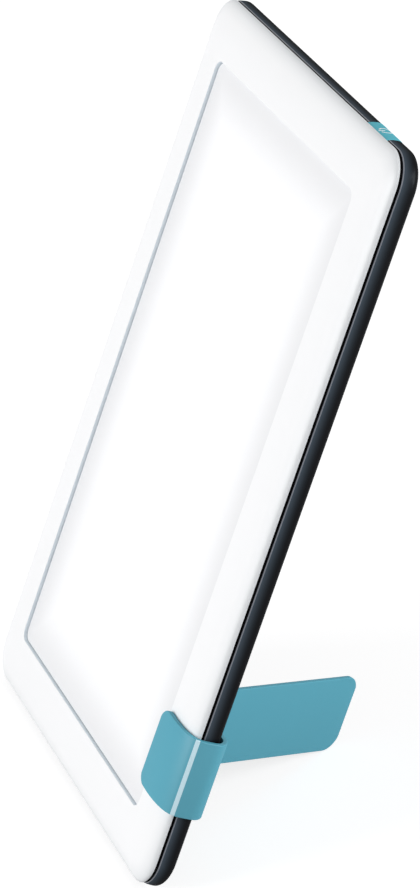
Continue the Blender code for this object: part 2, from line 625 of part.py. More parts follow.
def make_light_stack(carrier, opal, film, acrylic, reflector, metal):
    """Diffuser, film, light guide, reflector and the tray that holds them."""
    radius = DIFFUSER_CORNER_RADIUS
    rings = [rounded_ring(WINDOW_HALF_WIDTH - FIT_GAP, WINDOW_HALF_HEIGHT - FIT_GAP,
                          WINDOW_CORNER_RADIUS - FIT_GAP, depth, WINDOW_CENTRE)
             for depth in (WINDOW_FLOOR, DIFFUSER_FRONT)]
    rings += [rounded_ring(TRAY_HALF_WIDTH, TRAY_HALF_HEIGHT, radius, depth, WINDOW_CENTRE)
              for depth in (DIFFUSER_FRONT, DIFFUSER_REAR)]
    add_piece("diffuser_panel", loft_mesh("diffuser_panel", rings), opal, carrier)

    inner_width = TRAY_HALF_WIDTH - TRAY_WALL
    inner_height = TRAY_HALF_HEIGHT - TRAY_WALL
    inner_radius = radius - TRAY_WALL
    film_mesh = slab_mesh("diffusing_film", inner_width - FIT_GAP, inner_height - FIT_GAP, inner_radius,
                          FILM_FRONT, FILM_FRONT + FILM_THICKNESS, WINDOW_CENTRE)
    add_piece("diffusing_film", film_mesh, film, carrier)
    guide_mesh = slab_mesh("light_guide", GUIDE_HALF_WIDTH, GUIDE_HALF_HEIGHT, FIT_GAP,
                           GUIDE_FRONT, GUIDE_REAR, WINDOW_CENTRE)
    add_piece("light_guide", guide_mesh, acrylic, carrier)
    back_mesh = slab_mesh("reflector_film", GUIDE_HALF_WIDTH, GUIDE_HALF_HEIGHT, FIT_GAP,
                          REFLECTOR_FRONT, REFLECTOR_FRONT + FILM_THICKNESS, WINDOW_CENTRE)
    add_piece("reflector_film", back_mesh, reflector, carrier)

    rings = [rounded_ring(TRAY_HALF_WIDTH, TRAY_HALF_HEIGHT, radius, depth, WINDOW_CENTRE)
             for depth in (TRAY_REAR, FILM_FRONT)]
    rings += [rounded_ring(inner_width, inner_height, inner_radius, depth, WINDOW_CENTRE)
              for depth in (FILM_FRONT, TRAY_FLOOR)]
    tray = add_piece("backlight_tray", loft_mesh("backlight_tray", rings), metal, carrier)
    holes = bmesh.new()
    for side in (-1, 1):
        across = side * (LED_BOARD_INNER + LED_BOARD_OUTER) / 2
        add_cylinder(holes, (across, TRAY_FLOOR - CUT_OVERRUN, led_lead_height()),
                     (across, TRAY_REAR + CUT_OVERRUN, led_lead_height()), LEAD_RADIUS + FIT_GAP, SMALL_SIDES)
    combine(tray, add_cutter("tray_lead_holes", mesh_from("tray_lead_holes", holes), carrier),
            'DIFFERENCE')


def make_led_strips(carrier, material):
    """An LED strip along each long side of the light guide: a narrow board with its row of chips."""
    half = GUIDE_HALF_HEIGHT - LED_BOARD_END_GAP
    middle = (GUIDE_FRONT + GUIDE_REAR) / 2
    pitch = 2 * half / CHIP_COUNT
    for side, label in ((-1, "left"), (1, "right")):
        edges = sorted((side * LED_BOARD_INNER, side * LED_BOARD_OUTER))
        board = box_mesh("led_strip_" + label, (edges[0], GUIDE_FRONT, WINDOW_CENTRE - half),
                         (edges[1], GUIDE_REAR, WINDOW_CENTRE + half))
        strip = add_piece("led_strip_" + label, board, material, carrier)
        chips = bmesh.new()
        edges = sorted((side * CHIP_INNER, side * (LED_BOARD_INNER + LED_BOARD_OUTER) / 2))
        for number in range(CHIP_COUNT):
            up = WINDOW_CENTRE - half + pitch * (number + 0.5)
            add_box(chips, (edges[0], middle - CHIP_HEIGHT / 2, up - CHIP_LENGTH / 2),
                    (edges[1], middle + CHIP_HEIGHT / 2, up + CHIP_LENGTH / 2))
        name = "led_chips_" + label
        combine(strip, add_cutter(name, mesh_from(name, chips), carrier), 'UNION')


def make_case_screws(carrier, material):
    """The screws that draw the two halves of the case together, heads sunk in the back."""
    tip = CASE_JOINT_HEIGHT - CASE_SCREW_BITE
    seat = BAND_DEPTH - CASE_SINK_DEPTH + FIT_GAP
    profile = screw_profile(CASE_HEAD_RADIUS, CASE_HEAD_HEIGHT, CASE_SCREW_RADIUS, seat - tip)
    screw = turned_mesh("case_screw", profile, SMALL_SIDES)
    for number, (across, up) in enumerate(case_screw_places(), 1):
        add_piece(f"case_screw_{number}", screw, material, carrier, (across, tip, up), (0.0, 1.0, 0.0))


def board_place(shares):
    """A place on the control board, from its middle at shares of 0, 0 to its corner at 1, 1."""
    middle = (BOARD_BOTTOM + BOARD_TOP) / 2
    half = (BOARD_TOP - BOARD_BOTTOM) / 2
    return shares[0] * BOARD_WIDTH / 2, middle + shares[1] * half


def led_lead_height():
    """How high the LED leads leave the control board."""
    return board_place(LED_BLOCK_PLACE_SHARES)[1]


def make_control_board(carrier, board_finish, steel, dark, pale):
    """The control board in the hump, held by four screws, with the parts that it carries."""
    board = box_mesh("control_board", (-BOARD_WIDTH / 2, BOARD_FRONT, BOARD_BOTTOM),
                     (BOARD_WIDTH / 2, BOARD_REAR, BOARD_TOP))
    piece = add_piece("control_board", board, board_finish, carrier)
    holes = bmesh.new()
    tip = BOARD_REAR + BOARD_SCREW_BITE - FIT_GAP
    profile = screw_profile(BOARD_HEAD_RADIUS, BOARD_HEAD_HEIGHT, BOARD_SCREW_RADIUS, tip - PART_BASE)
    screw = turned_mesh("board_screw", profile, SMALL_SIDES)
    for number, (across, up) in enumerate(board_post_places(), 1):
        add_cylinder(holes, (across, BOARD_FRONT - CUT_OVERRUN, up), (across, BOARD_REAR + CUT_OVERRUN, up),
                     BOARD_SCREW_RADIUS + FIT_GAP, SMALL_SIDES)
        add_piece(f"board_screw_{number}", screw, steel, carrier, (across, tip, up), (0.0, -1.0, 0.0))
    combine(piece, add_cutter("board_holes", mesh_from("board_holes", holes), carrier), 'DIFFERENCE')

    across, up = board_place(COIL_PLACE_SHARES)
    upper_flange = COIL_HEIGHT - COIL_FLANGE
    coil = turned_mesh("driver_coil", [
        (0.0, 0.0), (COIL_RADIUS, 0.0), (COIL_RADIUS, COIL_FLANGE), (COIL_WAIST_RADIUS, COIL_FLANGE),
        (COIL_WAIST_RADIUS, upper_flange), (COIL_RADIUS, upper_flange), (COIL_RADIUS, COIL_HEIGHT),
        (0.0, COIL_HEIGHT)])
    add_piece("driver_coil", coil, dark, carrier, (across, PART_BASE, up), (0.0, -1.0, 0.0))

    across, up = board_place(CAPACITOR_PLACE_SHARES)
    can = turned_mesh("capacitor", [(0.0, 0.0), (CAPACITOR_RADIUS, 0.0),
                                    (CAPACITOR_RADIUS, CAPACITOR_HEIGHT), (0.0, CAPACITOR_HEIGHT)])
    for number in range(2):
        add_piece(f"capacitor_{number + 1}", can, steel, carrier,
                  (across + number * CAPACITOR_PITCH, PART_BASE, up), (0.0, -1.0, 0.0))

    across, up = board_place(DRIVER_CHIP_PLACE_SHARES)
    half = DRIVER_CHIP_SIZE / 2
    chip = box_mesh("driver_chip", (across - half, PART_BASE - DRIVER_CHIP_HEIGHT, up - half),
                    (across + half, PART_BASE, up + half))
    add_piece("driver_chip", chip, dark, carrier)

    half = LEAD_BLOCK_WIDTH / 2
    block = box_mesh("lead_block", (-half, -LEAD_BLOCK_HEIGHT, -LEAD_BLOCK_LENGTH / 2),
                     (half, 0.0, LEAD_BLOCK_LENGTH / 2))
    across, up = board_place(LED_BLOCK_PLACE_SHARES)
    add_piece("lead_block_left", block, pale, carrier, (-across, PART_BASE, up))
    add_piece("lead_block_right", block, pale, carrier, (across, PART_BASE, up))
    up = up + LEAD_BLOCK_LENGTH + LEAD_BLOCK_SPACING
    add_piece("lead_block_switch", block, pale, carrier, (across, PART_BASE, up))


def lead_points(stops):
    """Evenly spread points on a smooth curve through a lead's stops."""
    stops = np.array(stops)
    steps = np.linalg.norm(np.diff(stops, axis=0), axis=1) ** 0.5
    knots = np.concatenate(([0.0], np.cumsum(steps)))
    padded = np.vstack((2 * stops[0] - stops[1], stops, 2 * stops[-1] - stops[-2]))
    times = np.concatenate(([-steps[0]], knots, [knots[-1] + steps[-1]]))
    points = []
    for time in np.linspace(0.0, knots[-1], LEAD_POINTS):
        span = min(max(int(np.searchsorted(knots, time, side='right')) - 1, 0), len(stops) - 2)
        start, end = knots[span], knots[span + 1]
        slope_in = (padded[span + 2] - padded[span]) / (times[span + 2] - times[span])
        slope_out = (padded[span + 3] - padded[span + 1]) / (times[span + 3] - times[span + 1])
        share = (time - start) / (end - start)
        blend = 3 * share ** 2 - 2 * share ** 3
        rise = share * (1 - share) ** 2 * (end - start)
        fall = share ** 2 * (1 - share) * (end - start)
        between = padded[span + 1] * (1 - blend) + padded[span + 2] * blend
        points.append(between + slope_in * rise - slope_out * fall)
    return points


def add_lead(name, stops, material, carrier):
    """An insulated lead: a thin bevelled curve with filled ends."""
    points = lead_points(stops)
    curve = bpy.data.curves.new(name, 'CURVE')
    curve.dimensions = '3D'
    curve.bevel_depth = LEAD_RADIUS
    curve.bevel_resolution = 2
    curve.use_fill_caps = True
    spline = curve.splines.new('POLY')
    spline.points.add(len(points) - 1)
    for slot, point in zip(spline.points, points):
        slot.co = (*point, 1.0)
    curve.materials.append(material)
    lead = bpy.data.objects.new(name, curve)
    LAMP.objects.link(lead)
    lead.parent = carrier


def make_leads(carrier, material):
    """Leads from the control board to both LED strips and to the switch, and from the power inlet."""
    flat = LEAD_RUN
    bend = LEAD_BEND
    exit_depth = PART_BASE - LEAD_BLOCK_HEIGHT / 2
    hump_side = HUMP_WIDTH / 2 - HUMP_WALL
    strip_side = (LED_BOARD_INNER + LED_BOARD_OUTER) / 2
    start, height = board_place(LED_BLOCK_PLACE_SHARES)
    start = start + LEAD_BLOCK_WIDTH / 2 + FIT_GAP
    for side, label in ((-1, "left"), (1, "right")):
        stops = [(start, exit_depth), (start + bend, exit_depth), (hump_side - bend, flat + LEAD_RADIUS),
                 (hump_side + bend, flat), (strip_side - 3 * bend, flat), (strip_side - bend / 2, flat),
                 (strip_side, TRAY_REAR), (strip_side, TRAY_FLOOR), (strip_side, GUIDE_REAR + FIT_GAP)]
        add_lead("led_lead_" + label, [(side * across, depth, height) for across, depth in stops],
                 material, carrier)

    across, up = board_place(LED_BLOCK_PLACE_SHARES)
    up = up + LEAD_BLOCK_LENGTH * 3 / 2 + LEAD_BLOCK_SPACING + FIT_GAP
    hump_top = HUMP_CENTRE + HUMP_HEIGHT / 2 - HUMP_WALL
    target = SWITCH_BOARD_BOTTOM - FIT_GAP
    add_lead("switch_lead", [
        (across, exit_depth, up), (across, exit_depth, up + bend),
        (across, flat + LEAD_RADIUS, hump_top - bend), (across + bend, flat, hump_top + bend),
        (REST_PAD_SIDE - REST_PAD_RADIUS - 3 * bend, flat, REST_PAD_TOP - REST_PAD_RADIUS),
        (BUTTON_CENTRE - bend, flat, REST_PAD_TOP + REST_PAD_RADIUS + bend),
        (BUTTON_CENTRE, flat, target)], material, carrier)

    inlet = JACK_TOP + FIT_GAP
    landing = BOARD_FRONT - FIT_GAP - LEAD_RADIUS
    for side, label in ((-1, "left"), (1, "right")):
        across = side * JACK_WIDTH / 4
        add_lead("inlet_lead_" + label, [
            (across, landing - bend, inlet), (across, landing - bend, inlet + BOARD_END_GAP),
            (across, landing - LEAD_RADIUS, inlet + 2 * BOARD_END_GAP + bend),
            (across, landing, inlet + 3 * BOARD_END_GAP + bend)], material, carrier)


def make_power_inlet(carrier, dark, contact):
    """The round power inlet: a block whose nose fills its hole in the hump, and the pin in its bore."""
    body = box_mesh("power_inlet", (-JACK_WIDTH / 2, JACK_REAR - JACK_DEPTH, JACK_BOTTOM),
                    (JACK_WIDTH / 2, JACK_REAR, JACK_TOP))
    piece = add_piece("power_inlet", body, dark, carrier)
    nose = bmesh.new()
    add_cylinder(nose, (0.0, JACK_CENTRE, JACK_MOUTH), (0.0, JACK_CENTRE, JACK_BOTTOM + CUT_OVERRUN),
                 JACK_NOSE_RADIUS)
    combine(piece, add_cutter("inlet_nose", mesh_from("inlet_nose", nose), carrier), 'UNION')
    bore = bmesh.new()
    floor = JACK_MOUTH + JACK_BORE_DEPTH
    add_cylinder(bore, (0.0, JACK_CENTRE, JACK_MOUTH - CUT_OVERRUN), (0.0, JACK_CENTRE, floor),
                 JACK_BORE_RADIUS)
    combine(piece, add_cutter("inlet_bore", mesh_from("inlet_bore", bore), carrier), 'DIFFERENCE')

    tip = JACK_MOUTH + JACK_PIN_SETBACK
    rounding = JACK_PIN_RADIUS / 2
    length = floor - FIT_GAP - tip
    pin = turned_mesh("inlet_pin", [
        (0.0, 0.0), (JACK_PIN_RADIUS - rounding, 0.0), (JACK_PIN_RADIUS, rounding),
        (JACK_PIN_RADIUS, length), (0.0, length)], SMALL_SIDES)
    add_piece("inlet_pin", pin, contact, carrier, (0.0, JACK_CENTRE, tip))


def make_switch(carrier, board_finish, dark):
    """The small board under the power button, and the switch on it with a well for its plunger."""
    half = SWITCH_BOARD_LENGTH / 2
    board = box_mesh("switch_board", (BUTTON_CENTRE - half, SWITCH_BOARD_FRONT, SWITCH_BOARD_BOTTOM),
                     (BUTTON_CENTRE + half, SWITCH_BOARD_REAR, SWITCH_TOP))
    add_piece("switch_board", board, board_finish, carrier)
    half = SWITCH_WIDTH / 2
    body = box_mesh("power_switch", (BUTTON_CENTRE - half, SWITCH_REAR - SWITCH_DEPTH, SWITCH_BOTTOM),
                    (BUTTON_CENTRE + half, SWITCH_REAR, SWITCH_TOP))
    switch = add_piece("power_switch", body, dark, carrier)
    well = bmesh.new()
    add_cylinder(well, (BUTTON_CENTRE, SWITCH_CENTRE, SWITCH_TOP - PLUNGER_SUNK - PLUNGER_ROOM),
                 (BUTTON_CENTRE, SWITCH_CENTRE, SWITCH_TOP + CUT_OVERRUN), PLUNGER_RADIUS + FIT_GAP,
                 SMALL_SIDES)
    combine(switch, add_cutter("plunger_well", mesh_from("plunger_well", well), carrier), 'DIFFERENCE')


def make_power_button(carrier, material, plunger_finish):
    """The button: a cap that carries on the band's curve, a flange that keeps it in, and its stem."""
    half = BUTTON_LENGTH / 2
    root = (BUTTON_FLANGE_TOP + BUTTON_FLANGE_BOTTOM) / 2
    outline = button_profile(BUTTON_PROUD) + [(BUTTON_REAR, root), (BUTTON_FRONT, root)]
    rings = [[Vector((across, depth, up)) for depth, up in outline]
             for across in (BUTTON_CENTRE - half, BUTTON_CENTRE + half)]
    button = add_piece("power_button", smooth(loft_mesh("power_button", rings)), material, carrier)
    reach = half + BUTTON_FLANGE_REACH
    flange = box_mesh("button_flange",
                      (BUTTON_CENTRE - reach, BUTTON_FRONT + BUTTON_FLANGE_SETBACK, BUTTON_FLANGE_BOTTOM),
                      (BUTTON_CENTRE + reach, BUTTON_REAR - BUTTON_FLANGE_SETBACK, BUTTON_FLANGE_TOP))
    combine(button, add_cutter("button_flange", flange, carrier), 'UNION')
    half = BUTTON_STEM_WIDTH / 2
    stem = box_mesh("button_stem",
                    (BUTTON_CENTRE - half, SWITCH_CENTRE - BUTTON_STEM_DEPTH / 2, BUTTON_STEM_BOTTOM),
                    (BUTTON_CENTRE + half, SWITCH_CENTRE + BUTTON_STEM_DEPTH / 2, root))
    combine(button, add_cutter("button_stem", stem, carrier), 'UNION')

    plunger = bmesh.new()
    add_cylinder(plunger, (BUTTON_CENTRE, SWITCH_CENTRE, SWITCH_TOP - PLUNGER_SUNK),
                 (BUTTON_CENTRE, SWITCH_CENTRE, PLUNGER_TOP), PLUNGER_RADIUS, SMALL_SIDES)
    add_piece("switch_plunger", smooth(mesh_from("switch_plunger", plunger)), plunger_finish, carrier)


def arc_points(centre, radius, start, end):
    """Points on an arc in the plan, from one angle to another."""
    return [(centre[0] + radius * math.cos(angle), centre[1] + radius * math.sin(angle))
            for angle in np.linspace(start, end, BEND_STEPS + 1)]


def strip_path():
    """The inner side of the strip in plan: front tongue, right side, back, and the slanting leg."""
    points = [(HALF_WIDTH - STRIP_TONGUE_REACH, FRONT_FACE - FIT_GAP)]
    for turn in np.linspace(0.0, STRIP_FOLD_ANGLE, 2 * EDGE_STEPS):
        inset, depth = front_curve(turn, FRONT_RIM_INSET, FRONT_FACE)
        slope = Vector(((FRONT_EDGE_WIDTH - FRONT_RIM_INSET) * math.cos(turn),
                        (SEAM_FRONT - FRONT_FACE) * math.sin(turn)))
        slope.normalize()
        points.append((HALF_WIDTH - inset + FIT_GAP * slope.y, depth - FIT_GAP * slope.x))
    points.append((STRIP_SIDE, SEAM_REAR))
    back_centre = (STRIP_SIDE - STRIP_BACK_RADIUS, STRIP_REAR - STRIP_BACK_RADIUS)
    points += arc_points(back_centre, STRIP_BACK_RADIUS, 0.0, math.pi / 2)
    turned = math.pi / 2 - LEG_SLANT
    tangent = LEG_FOLD_RADIUS * math.tan(turned / 2)
    fold = (HALF_WIDTH - LEG_FROM_SIDE, STRIP_REAR)
    fold_centre = (fold[0] + tangent, STRIP_REAR + LEG_FOLD_RADIUS)
    points += arc_points(fold_centre, LEG_FOLD_RADIUS, -math.pi / 2, -math.pi / 2 - turned)
    points.append((fold[0] - LEG_LENGTH * math.sin(LEG_SLANT), fold[1] + LEG_LENGTH * math.cos(LEG_SLANT)))
    return np.array(points)


def corner_drop(distance, radius):
    """How far a rounded corner cuts into the strip at some distance from its end."""
    missing = np.clip(radius - distance, 0.0, radius)
    return radius - np.sqrt(radius ** 2 - missing ** 2)


def corner_steps(radius):
    """Distances from the end at which a rounded corner is drawn."""
    return radius * (1.0 - np.cos(np.linspace(0.0, math.pi / 2, CORNER_STEPS + 1)))


def make_stand(carrier, material):
    """The stand: one strip carried along its path, thickened outward, with rounded end corners.

    Its front part rises a little towards the tongue, and is a little narrower than the leg.
    """
    path = strip_path()
    lengths = np.concatenate(([0.0], np.cumsum(np.linalg.norm(np.diff(path, axis=0), axis=1))))
    total = lengths[-1]
    front = [corner_steps(radius) for radius in (STRIP_TIP_UPPER_RADIUS, STRIP_TIP_LOWER_RADIUS)]
    end = [total - corner_steps(radius) for radius in (LEG_END_UPPER_RADIUS, LEG_END_LOWER_RADIUS)]
    places = np.sort(np.concatenate([lengths] + front + end))
    places = places[np.concatenate(([True], np.diff(places) > STRIP_EDGE_BEVEL / 2))]
    across = np.interp(places, lengths, path[:, 0])
    back = np.interp(places, lengths, path[:, 1])
    bend = STRIP_TONGUE_REACH + STRIP_REAR
    rise = STRIP_FRONT_RISE * np.clip(1.0 - places / bend, 0.0, 1.0)
    narrower = STRIP_CLIP_DROP * np.interp(places, (bend, total - LEG_LENGTH), (1.0, 0.0))
    low = STRIP_BOTTOM + rise + corner_drop(places, STRIP_TIP_LOWER_RADIUS)
    low = low + corner_drop(total - places, LEG_END_LOWER_RADIUS)
    high = STRIP_TOP + rise - narrower - corner_drop(places, STRIP_TIP_UPPER_RADIUS)
    high = high - corner_drop(total - places, LEG_END_UPPER_RADIUS)
    bm = bmesh.new()
    lower = [bm.verts.new(point) for point in zip(across, back, low)]
    upper = [bm.verts.new(point) for point in zip(across, back, high)]
    for index in range(len(places) - 1):
        bm.faces.new((lower[index], lower[index + 1], upper[index + 1], upper[index]))
    mesh = bpy.data.meshes.new("stand_strip")
    bm.to_mesh(mesh)
    bm.free()
    stand = add_piece("stand_strip", smooth(mesh), material, carrier)
    thicken = stand.modifiers.new("thickness", 'SOLIDIFY')
    thicken.thickness = STRIP_THICKNESS
    thicken.offset = 1.0
    thicken.use_even_offset = True
    bevel_edges(stand, STRIP_EDGE_BEVEL)
    return stand


def drop_at(lean, depth, height):
    """The height of a point of the upright lamp once it leans back by an angle."""
    return height * math.cos(lean) - depth * math.sin(lean)


def edge_lowest(lean):
    """The lowest place of the band's lower edge at a lean, as (depth, height) on the upright lamp."""
    turn = math.atan2((BAND_DEPTH - BAND_CROWN) * math.sin(lean), REAR_EDGE_WIDTH * math.cos(lean))
    inset, depth = rear_curve(turn)
    return depth, inset - HALF_HEIGHT


def leg_lowest(lean):
    """The lowest height of the rounded lower corner at the leg's end, at a lean."""
    fall = math.sin(lean) * math.cos(LEG_SLANT)
    turn = math.atan2(fall, math.cos(lean))
    along = LEG_LENGTH - LEG_END_LOWER_RADIUS * (1.0 - math.sin(turn))
    height = STRIP_BOTTOM + LEG_END_LOWER_RADIUS * (1.0 - math.cos(turn))
    depth = STRIP_REAR + along * math.cos(LEG_SLANT) + STRIP_THICKNESS * math.sin(LEG_SLANT)
    return drop_at(lean, depth, height)


def rest_lean():
    """The lean at which the foot strip and the leg's corner touch the same floor, by halving."""
    small = 0.0
    large = math.pi / 3
    for _ in range(50):
        lean = (small + large) / 2
        if leg_lowest(lean) > drop_at(lean, *edge_lowest(lean)) - FOOT_PROUD:
            small = lean
        else:
            large = lean
    return (small + large) / 2


def make_foot(material):
    """The rubber strip that the lower edge stands on, drawn level on the floor at the origin."""
    mesh = box_mesh("foot_strip", (-FOOT_LENGTH / 2, -FOOT_WIDTH / 2, 0.0),
                    (FOOT_LENGTH / 2, FOOT_WIDTH / 2, FOOT_PROUD + FOOT_SEAT_DEPTH))
    add_piece("foot_strip", mesh, material, None)


def main():
    """Build every piece of the lamp, lean it back and stand it on the floor."""
    lean = rest_lean()
    depth, height = edge_lowest(lean)
    stance = new_empty("lamp_stance", (0.0, 0.0, 0.0))
    stance.rotation_euler = (-lean, 0.0, 0.0)
    ahead = depth * math.cos(lean) + height * math.sin(lean)
    stance.location = (0.0, -ahead, FOOT_PROUD - drop_at(lean, depth, height))
    stand_carrier = new_empty("stand_carrier", (STRIP_SIDE, 0.0, STRIP_BOTTOM), stance)
    button_carrier = new_empty("button_carrier", (BUTTON_CENTRE, SWITCH_CENTRE, HALF_HEIGHT), stance)

    white = finish("white_gloss", (0.9, 0.9, 0.91), 0.25)
    anthracite = finish("anthracite_gloss", (0.035, 0.042, 0.05), 0.3)
    opal = finish("opal_acrylic", (0.95, 0.96, 0.97), 0.45)
    film = finish("clear_film", (0.9, 0.92, 0.94), 0.3, transmission=0.5)
    acrylic = finish("clear_acrylic", (0.9, 0.94, 0.95), 0.05, transmission=0.9)
    reflector = finish("white_film", (0.92, 0.92, 0.92), 0.6)
    sheet = finish("sheet_aluminium", (0.72, 0.73, 0.75), 0.4, metallic=1.0)
    green_board = finish("circuit_board", (0.03, 0.18, 0.09), 0.5)
    white_board = finish("white_circuit_board", (0.85, 0.86, 0.84), 0.5)
    steel = finish("plated_steel", (0.55, 0.56, 0.58), 0.35, metallic=1.0)
    dark = finish("black_plastic", (0.02, 0.02, 0.022), 0.45)
    pale = finish("pale_plastic", (0.8, 0.79, 0.74), 0.5)
    brass = finish("plated_brass", (0.75, 0.65, 0.4), 0.25, metallic=1.0)
    insulation = finish("lead_insulation", (0.5, 0.03, 0.03), 0.5)
    teal = finish("teal_plastic", (0.1, 0.36, 0.45), 0.4)
    rubber = finish("black_rubber", (0.03, 0.03, 0.03), 0.8)

    make_front_shell(stance, white)
    make_rear_housing(stance, anthracite)
    make_light_stack(stance, opal, film, acrylic, reflector, sheet)
    make_led_strips(stance, white_board)
    make_case_screws(stance, steel)
    make_control_board(stance, green_board, steel, dark, pale)
    make_power_inlet(stance, dark, brass)
    make_switch(stance, green_board, dark)
    make_leads(stance, insulation)
    make_foot(rubber)
    make_stand(stand_carrier, teal)
    make_power_button(button_carrier, teal, pale)


main()
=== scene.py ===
"""Light therapy lamp: its covers, light panel, stand and power key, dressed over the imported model.

Sizes are in metres. Most pieces are drawn upright in the lamp's own frame: X across, Z up and Y back
from the seam between the two covers. stand_up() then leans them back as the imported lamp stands.
"""

import json
import math

import bmesh
import bpy
import numpy as np
from bpy.props import FloatProperty, FloatVectorProperty, IntProperty, PointerProperty
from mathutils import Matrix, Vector


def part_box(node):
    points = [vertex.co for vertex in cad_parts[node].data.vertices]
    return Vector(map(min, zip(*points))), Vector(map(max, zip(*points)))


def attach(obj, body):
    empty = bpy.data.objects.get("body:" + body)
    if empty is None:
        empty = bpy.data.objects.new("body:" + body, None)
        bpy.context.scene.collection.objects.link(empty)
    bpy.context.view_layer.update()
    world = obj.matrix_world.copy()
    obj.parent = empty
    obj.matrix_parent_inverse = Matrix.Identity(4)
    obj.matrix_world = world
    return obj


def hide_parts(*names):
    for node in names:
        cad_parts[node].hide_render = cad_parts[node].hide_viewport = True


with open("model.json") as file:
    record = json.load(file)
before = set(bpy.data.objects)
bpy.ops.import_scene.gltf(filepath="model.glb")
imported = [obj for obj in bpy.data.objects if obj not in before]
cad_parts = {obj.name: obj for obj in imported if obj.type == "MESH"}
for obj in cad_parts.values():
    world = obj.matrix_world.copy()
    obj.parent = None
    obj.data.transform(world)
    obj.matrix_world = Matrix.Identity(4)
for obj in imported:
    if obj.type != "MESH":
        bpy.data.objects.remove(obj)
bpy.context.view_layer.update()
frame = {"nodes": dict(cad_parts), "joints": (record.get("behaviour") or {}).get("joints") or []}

bl_info = {
    "name": "Light Therapy Lamp",
    "version": (1, 0, 0),
    "blender": (4, 5, 0),
    "location": "View3D > Sidebar > Lamp",
    "description": "Builds a slim panel light on a clip-on stand",
    "category": "Add Mesh",
}

MM = 0.001
FIT_GAP = 0.3 * MM
OVERCUT = 1.0 * MM  # how far a cutting piece reaches past what it cuts
MERGE = 0.0005 * MM  # points nearer than this become one
SHARP = math.radians(32.0)  # edges that turn by more stay sharp
HAIR = 0.02 * MM  # a gap or a step too small to see
PLACE_DIGITS = 7  # stations along the strip are told apart to a tenth of a micron

# How many points or steps a curve has, and how strongly the light panel's rings crowd at its rim.
CORNER_STEPS = 14
SIDE_STEPS = 6
EDGE_STEPS = 18
ROUND_STEPS = 48
SMALL_ROUND = 6
HUMP_ROUND = 9
POST_STEPS = 32
WELL_STEPS = 40
PANEL_RINGS = 32
PANEL_CROWDING = 1.5
CLIP_FOLD_STEPS = 40
BACK_BEND_STEPS = 13
LEG_FOLD_STEPS = 17
STRIP_CORNER_STEPS = 14
LEG_STEPS = 24
KEY_ROUND = 7
KEY_STEPS = 24
SYMBOL_STEPS = 72
BAR_STEPS = 12
RIB_STEPS = 8
FOOT_ROUND = 5
SOLE_STEPS = 9
HEAD_RINGS = 22
SLEEVE_STEPS = 64
MOUTH_STEPS = 7
FLOOR_STEPS = 96

# Small sizes that the sidebar leaves out.
FLAT_RINGS = (2.0 * MM, 0.6 * MM, 0.0)  # on the flat face round the window, from its edge
PANEL_FLANGE = 1.2 * MM
SLOT_CORNER = 0.15 * MM
BAR_ENDS = (-1.15, -0.1)  # of the symbol's bar, in radii of its ring
PRINT_SINK = 0.1 * MM
FOOT_ROUNDING = 0.4 * MM
CROSS_REACH = 0.62  # of the cross in a screw's head, as a share of the head's radius
CROSS_WIDTH = 0.16  # half of an arm's, as the same share
CROSS_DEPTH = 0.65  # as a share of the head's height
CROSS_EASE = 0.06 * MM
SLEEVE_WALL = 0.25 * MM
SLEEVE_START = 0.6 * MM
SLEEVE_REACH = 0.8  # as a share of the bore's depth

# Where the finishes fade, with their painted light and shade, in millimetres behind the seam, and for the
# panel's painted shade as a share of the way in.
FRONT_EDGE_SHADE_FADE = (-3.2, -0.5)
PAINTED_SLATE_FADE = (0.4, 4.6)
PAINTED_SLATE_POWER = 2.5
BACK_FADE = (5.0, 7.6)
PANEL_SHADE_FADE = (0.0, 0.34)
PANEL_RIM_SHADE_GLOW = 0.32  # share of the glow that is left at the panel's rim, where painted shade dims it
COOL_WHITE = (0.97, 0.985, 1.0, 1.0)
COOL_GLOSS = (0.82, 0.91, 1.0, 1.0)
WHITE = (1.0, 1.0, 1.0, 1.0)

# Each soft lamp: its name, the setting that holds its power, its place, its aim and its size, in metres.
SOFT_LAMPS = (
    ("front_lamp", "key", (0.0, -1.45, 0.65), (0.0, 0.0, 0.10), 1.0),
    ("side_lamp", "side", (0.75, 1.05, 0.5), (0.03, 0.05, 0.08), 0.8),
)
SCREW_NAMES = [f"case_screw_{number}" for number in range(1, 9)]
FLOOR_RADIUS = 8.0
FLOOR_DROP = 0.2 * MM
FLOOR_FADE = (0.2, 1.2)  # metres from the middle, over which the floor turns to the far glow
FAR_GLOW = 0.9


def lean():
    """How far the lamp leans back: the stand's joint runs up its side, so the joint's axis tells it."""
    joint = next(joint for joint in frame["joints"] if joint["name"] == "stand_slide")
    return math.atan2(joint["axis"][1], joint["axis"][2])


def length(name, description, default):
    """A length given in millimetres and kept in metres."""
    return FloatProperty(name=name, description=description, default=default * MM, precision=5,
                         unit='LENGTH')


def angle(name, description, default):
    """An angle given in degrees and kept in radians."""
    return FloatProperty(name=name, description=description, default=math.radians(default), unit='ROTATION')


def amount(name, description, default):
    """A plain number that isn't below nought."""
    return FloatProperty(name=name, description=description, default=default, min=0.0)


def share(name, description, default):
    """A plain share from nought to one."""
    return FloatProperty(name=name, description=description, default=default, min=0.0, max=1.0,
                         subtype='FACTOR')


def colour(name, description, default):
    """A linear colour."""
    return FloatVectorProperty(name=name, description=description, default=default, size=3, min=0.0,
                               max=1.0, subtype='COLOR')


